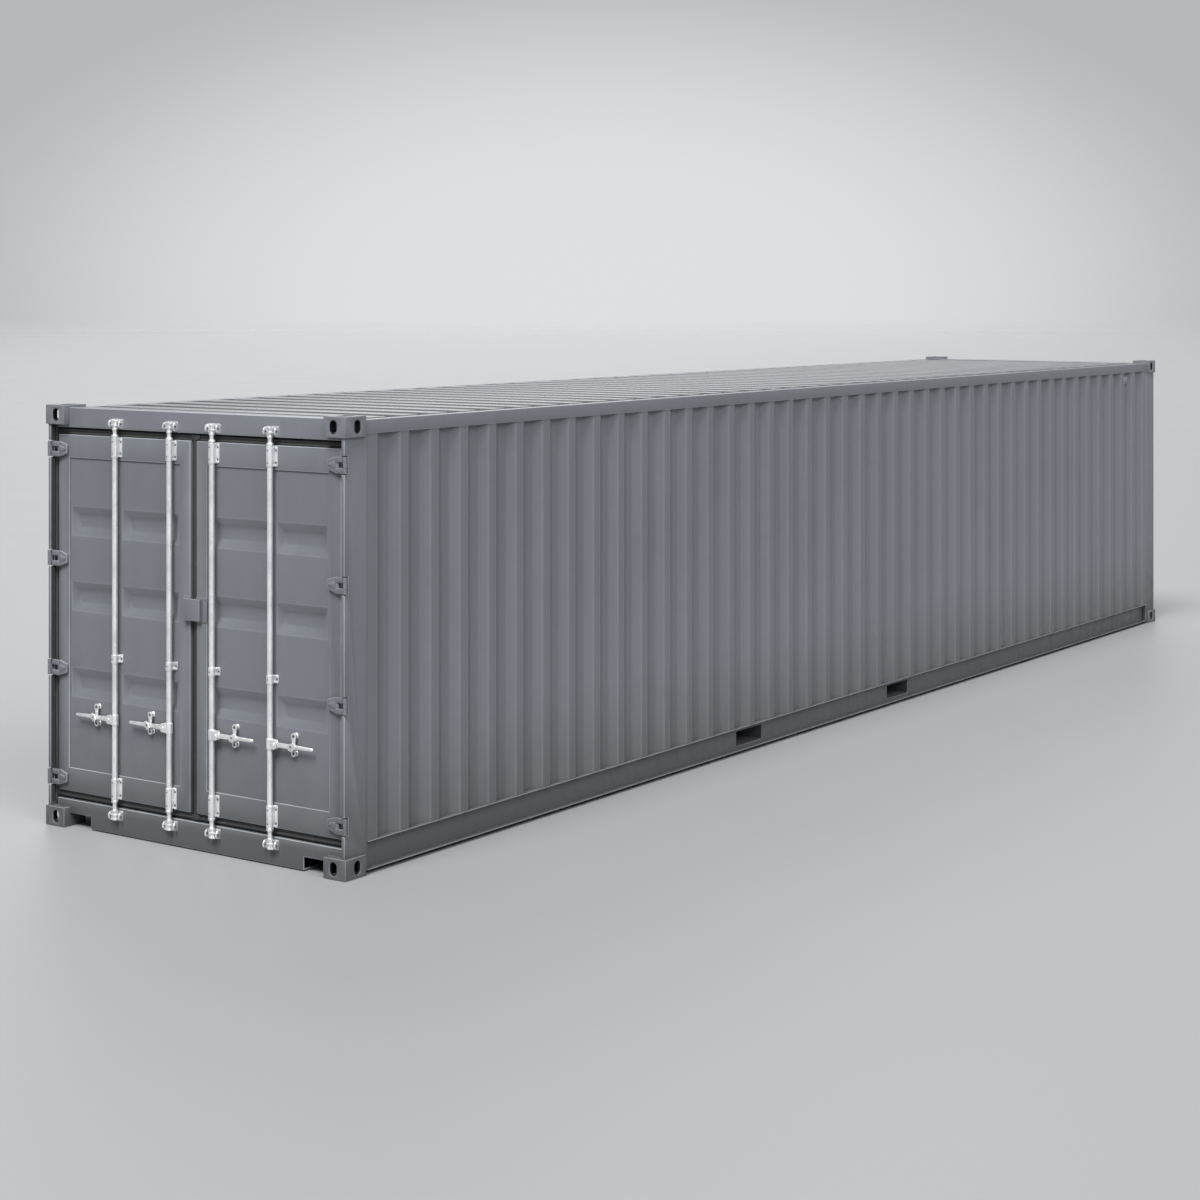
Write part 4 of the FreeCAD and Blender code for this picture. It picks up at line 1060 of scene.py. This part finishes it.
def seamWelds():
    size, forge = weldSizes, Forge()
    for index, node in enumerate(("side_panel_right", "side_panel_left", "front_panel")):
        low, high = spanOf(node)
        for height in (low[2], high[2]):
            forge.bead(stitched(foldLine(node, height), size["stitch"]), size["sheet"], index)
    for sign in (-1, 1):  # between each corner fitting and what stands on it or hangs from it
        for end in (-1, 1):
            post = f"{'rear' if end < 0 else 'front'}_post_right"
            low, high = spanOf(post)
            inner, outer = (high[1], low[1]) if end < 0 else (low[1], high[1])
            edge, back = high[0] * sign, (high[0] - size["postReturn"]) * sign
            for z in (spanOf("corner_fittings_bottom")[1][2] + 1, spanOf("corner_fittings_top")[0][2] - 1):
                path = [(edge, inner, z), (edge, outer, z), (back, outer, z)]
                forge.bead(stitched(path, 9), size["frame"], 7 + end)
    forge.done("seamWelds", "container", "painted_steel")


def doorWelds(sideName):  # the seam between each door's panel and its frame
    forge = Forge(sides[sideName])
    low, high = spanOf("door_panel_right")
    left, right, bottom, top = low[0], high[0], low[2], high[2]
    corners = ((left, bottom), (right, bottom), (right, top), (left, top), (left, bottom))
    loop = [(x, panelFace, z) for x, z in corners]
    forge.bead(stitched(loop, 16)[:-1], weldSizes["frame"], 5, closed=True)
    forge.done(f"panelWeld{sideName.title()}", f"door_{sideName}", "painted_steel")


roofSizes = {
    "pitch": 286,
    "crest": 140,
    "slope": 16,
    "height": 16,
    "margin": 42,
    "thickness": 2,
    "firstRib": 427,
    "lastMargin": 150,
}


def roofSheet():  # one pressed sheet: ribs from rail to rail, with flat ground at both ends
    size = roofSizes
    low, high = spanOf("roof_panel")
    ground = low[2] + size["thickness"]
    crown = min(ground + size["height"], high[2])
    base, top = high[0] - size["margin"], high[0] - size["margin"] - size["slope"]
    half = size["crest"] / 2
    cuts = [(low[1], ground)]
    centre = endPlane + size["firstRib"]
    while centre + half + size["slope"] < high[1] - size["lastMargin"]:
        cuts += [(centre - half - size["slope"], ground), (centre - half, crown)]
        cuts += [(centre + half, crown), (centre + half + size["slope"], ground)]
        centre += size["pitch"]
    cuts.append((high[1], ground))
    points, faces = [], []
    for y, z in cuts:
        inner = top if z > ground else base
        points += [(low[0], y, ground), (-inner, y, z), (inner, y, z), (high[0], y, ground)]
    for row in range(len(cuts) - 1):
        a, b = row * 4, row * 4 + 4
        faces.append((a + 1, a + 2, b + 2, b + 1))
        if cuts[row][1] == cuts[row + 1][1] == ground:
            faces += [(a, a + 1, b + 1, b), (a + 2, a + 3, b + 3, b + 2)]
    rises = [row for row in range(len(cuts) - 1) if cuts[row][1] == ground and cuts[row + 1][1] > ground]
    for row in rises:  # the ends of each rib, and the strips beside them
        a, b, c, d = ((row + step) * 4 for step in range(4))
        faces += [(a + 1, b + 1, c + 1, d + 1), (a + 2, d + 2, c + 2, b + 2)]
        faces += [(a, a + 1, d + 1, d), (a + 2, a + 3, d + 3, d + 2)]
    forge = Forge()
    forge.put(points, faces)
    bmesh.ops.delete(forge.bm, geom=[v for v in forge.bm.verts if not v.link_faces], context="VERTS")
    bmesh.ops.recalc_face_normals(forge.bm, faces=forge.bm.faces)
    if sum(face.normal.z for face in forge.bm.faces) < 0:
        bmesh.ops.reverse_faces(forge.bm, faces=forge.bm.faces)
    bmesh.ops.solidify(forge.bm, geom=forge.bm.faces[:], thickness=size["thickness"] / 1000)
    folds = [e for e in forge.bm.edges if e.is_manifold and 0.25 < e.calc_face_angle(0) < 1.2]
    rounded(forge.bm, folds, 0.0025, 1)
    forge.done("roofPanel", "container", "roof_sheet", ["roof_panel"])


roofSheet()
deckBoards()
vents()
seamWelds()
for sideName in sides:
    doorWelds(sideName)
print("deck, vents and welds made")

for node, source in frame["nodes"].items():
    if not source.hide_render:
        source.data.materials.clear()
        source.data.materials.append(materials[slotOf[node]])


studio = {
    "floorColour": (0.205, 0.208, 0.212, 1),
    "floorRadius": 500,
    "fadeStart": 25,
    "fadeEnd": 260,
    "brightColour": (0.73, 0.745, 0.76, 1),
    "plainColour": (0.47, 0.48, 0.492, 1),
    "ceilingColour": (0.05, 0.051, 0.053, 1),
    "ceilingStart": 0.22,
    "ceilingEnd": 0.55,
    "brightTowards": (-0.5696, 0.8219, 0.0),
    "brightWidth": 0.046,
    "brightFlatness": 2.05,
    "skyStrength": 1.0,
}


def studioFloor():
    bm = bmesh.new()
    bmesh.ops.create_circle(bm, cap_ends=True, segments=96, radius=studio["floorRadius"])
    mesh = bpy.data.meshes.new("studioFloor")
    bm.to_mesh(mesh)
    bm.free()
    finish = Finish("studioFloorPaint")
    cloud = finish.noise(0.5, 3)
    lighter = tuple(c * 1.03 for c in studio["floorColour"][:3]) + (1,)
    colour = finish.mixed(cloud, studio["floorColour"], lighter)
    reach = finish.node("ShaderNodeVectorMath", {"operation": "LENGTH"}, {0: finish.place}, "Value")
    far = finish.mask(reach, studio["fadeStart"], studio["fadeEnd"])
    finish.plug(finish.shader.inputs["Alpha"], 1 - far)
    mesh.materials.append(finish.varied(colour, 0.44 + cloud * 0.06))
    floor = bpy.data.objects.new("studioFloor", mesh)
    bpy.context.scene.collection.objects.link(floor)
    floor.location.z = packedBox[0][2] - 0.002


def studioSky():  # a pale backdrop with one soft bright patch low behind the container
    sky = Finish("studioSky", bpy.data.worlds.new, "Background", "Generated")
    bpy.context.scene.world = sky.owner
    squeeze = {0: sky.place, 1: (1, 1, studio["brightFlatness"])}
    flat = sky.node("ShaderNodeVectorMath", {"operation": "MULTIPLY"}, squeeze)
    even = sky.node("ShaderNodeVectorMath", {"operation": "NORMALIZE"}, {0: flat})
    towards = Vector(studio["brightTowards"]).normalized()
    aim = sky.node("ShaderNodeVectorMath", {"operation": "DOT_PRODUCT"}, {0: even, 1: towards}, "Value")
    patch = sky.mask(aim, 1 - studio["brightWidth"], 1)
    backdrop = sky.mixed(patch, studio["plainColour"], studio["brightColour"])
    ceiling = sky.mask(sky.height(), studio["ceilingStart"], studio["ceilingEnd"])
    sky.plug(sky.shader.inputs["Color"], sky.mixed(ceiling, backdrop, studio["ceilingColour"]))
    sky.fixed(Strength=studio["skyStrength"])


lights = {  # name: where it shines from, its width in degrees and its power
    "overheadLight": ((-0.5, 0.3, 1.2), 60, 0.5),
    "doorLight": ((0.2, -1, 1.6), 28, 5.9),
    "sideLight": ((1, -0.3, 0.9), 35, 2.5),
    "backLight": ((-0.6, 0.75, 0.62), 40, 0.5),
}


def softSun(name, direction, width, power):
    light = bpy.data.lights.new(name, "SUN")
    light.angle, light.energy = math.radians(width), power
    lamp = bpy.data.objects.new(name, light)
    bpy.context.scene.collection.objects.link(lamp)
    lamp.rotation_euler = (-Vector(direction)).to_track_quat("-Z", "Y").to_euler()


view = {"place": (9.649, -15.769, 3.311), "turn": 34.72, "lens": 68.66, "sensor": 36, "shift": -0.26}
viewReach = 500


def studioCamera():
    camera = bpy.data.objects.new("studioCamera", bpy.data.cameras.new("studioCamera"))
    bpy.context.scene.collection.objects.link(camera)
    camera.location = view["place"]
    camera.rotation_euler = (math.radians(90), 0, math.radians(view["turn"]))
    camera.data.lens = view["lens"]
    camera.data.sensor_width = view["sensor"]
    camera.data.shift_y = view["shift"]
    camera.data.clip_end = viewReach
    bpy.context.scene.camera = camera


studioFloor()
studioSky()
for name, (direction, width, power) in lights.items():
    softSun(name, direction, width, power)
studioCamera()
bpy.context.scene.view_settings.view_transform = "Standard"
print("studio set up")
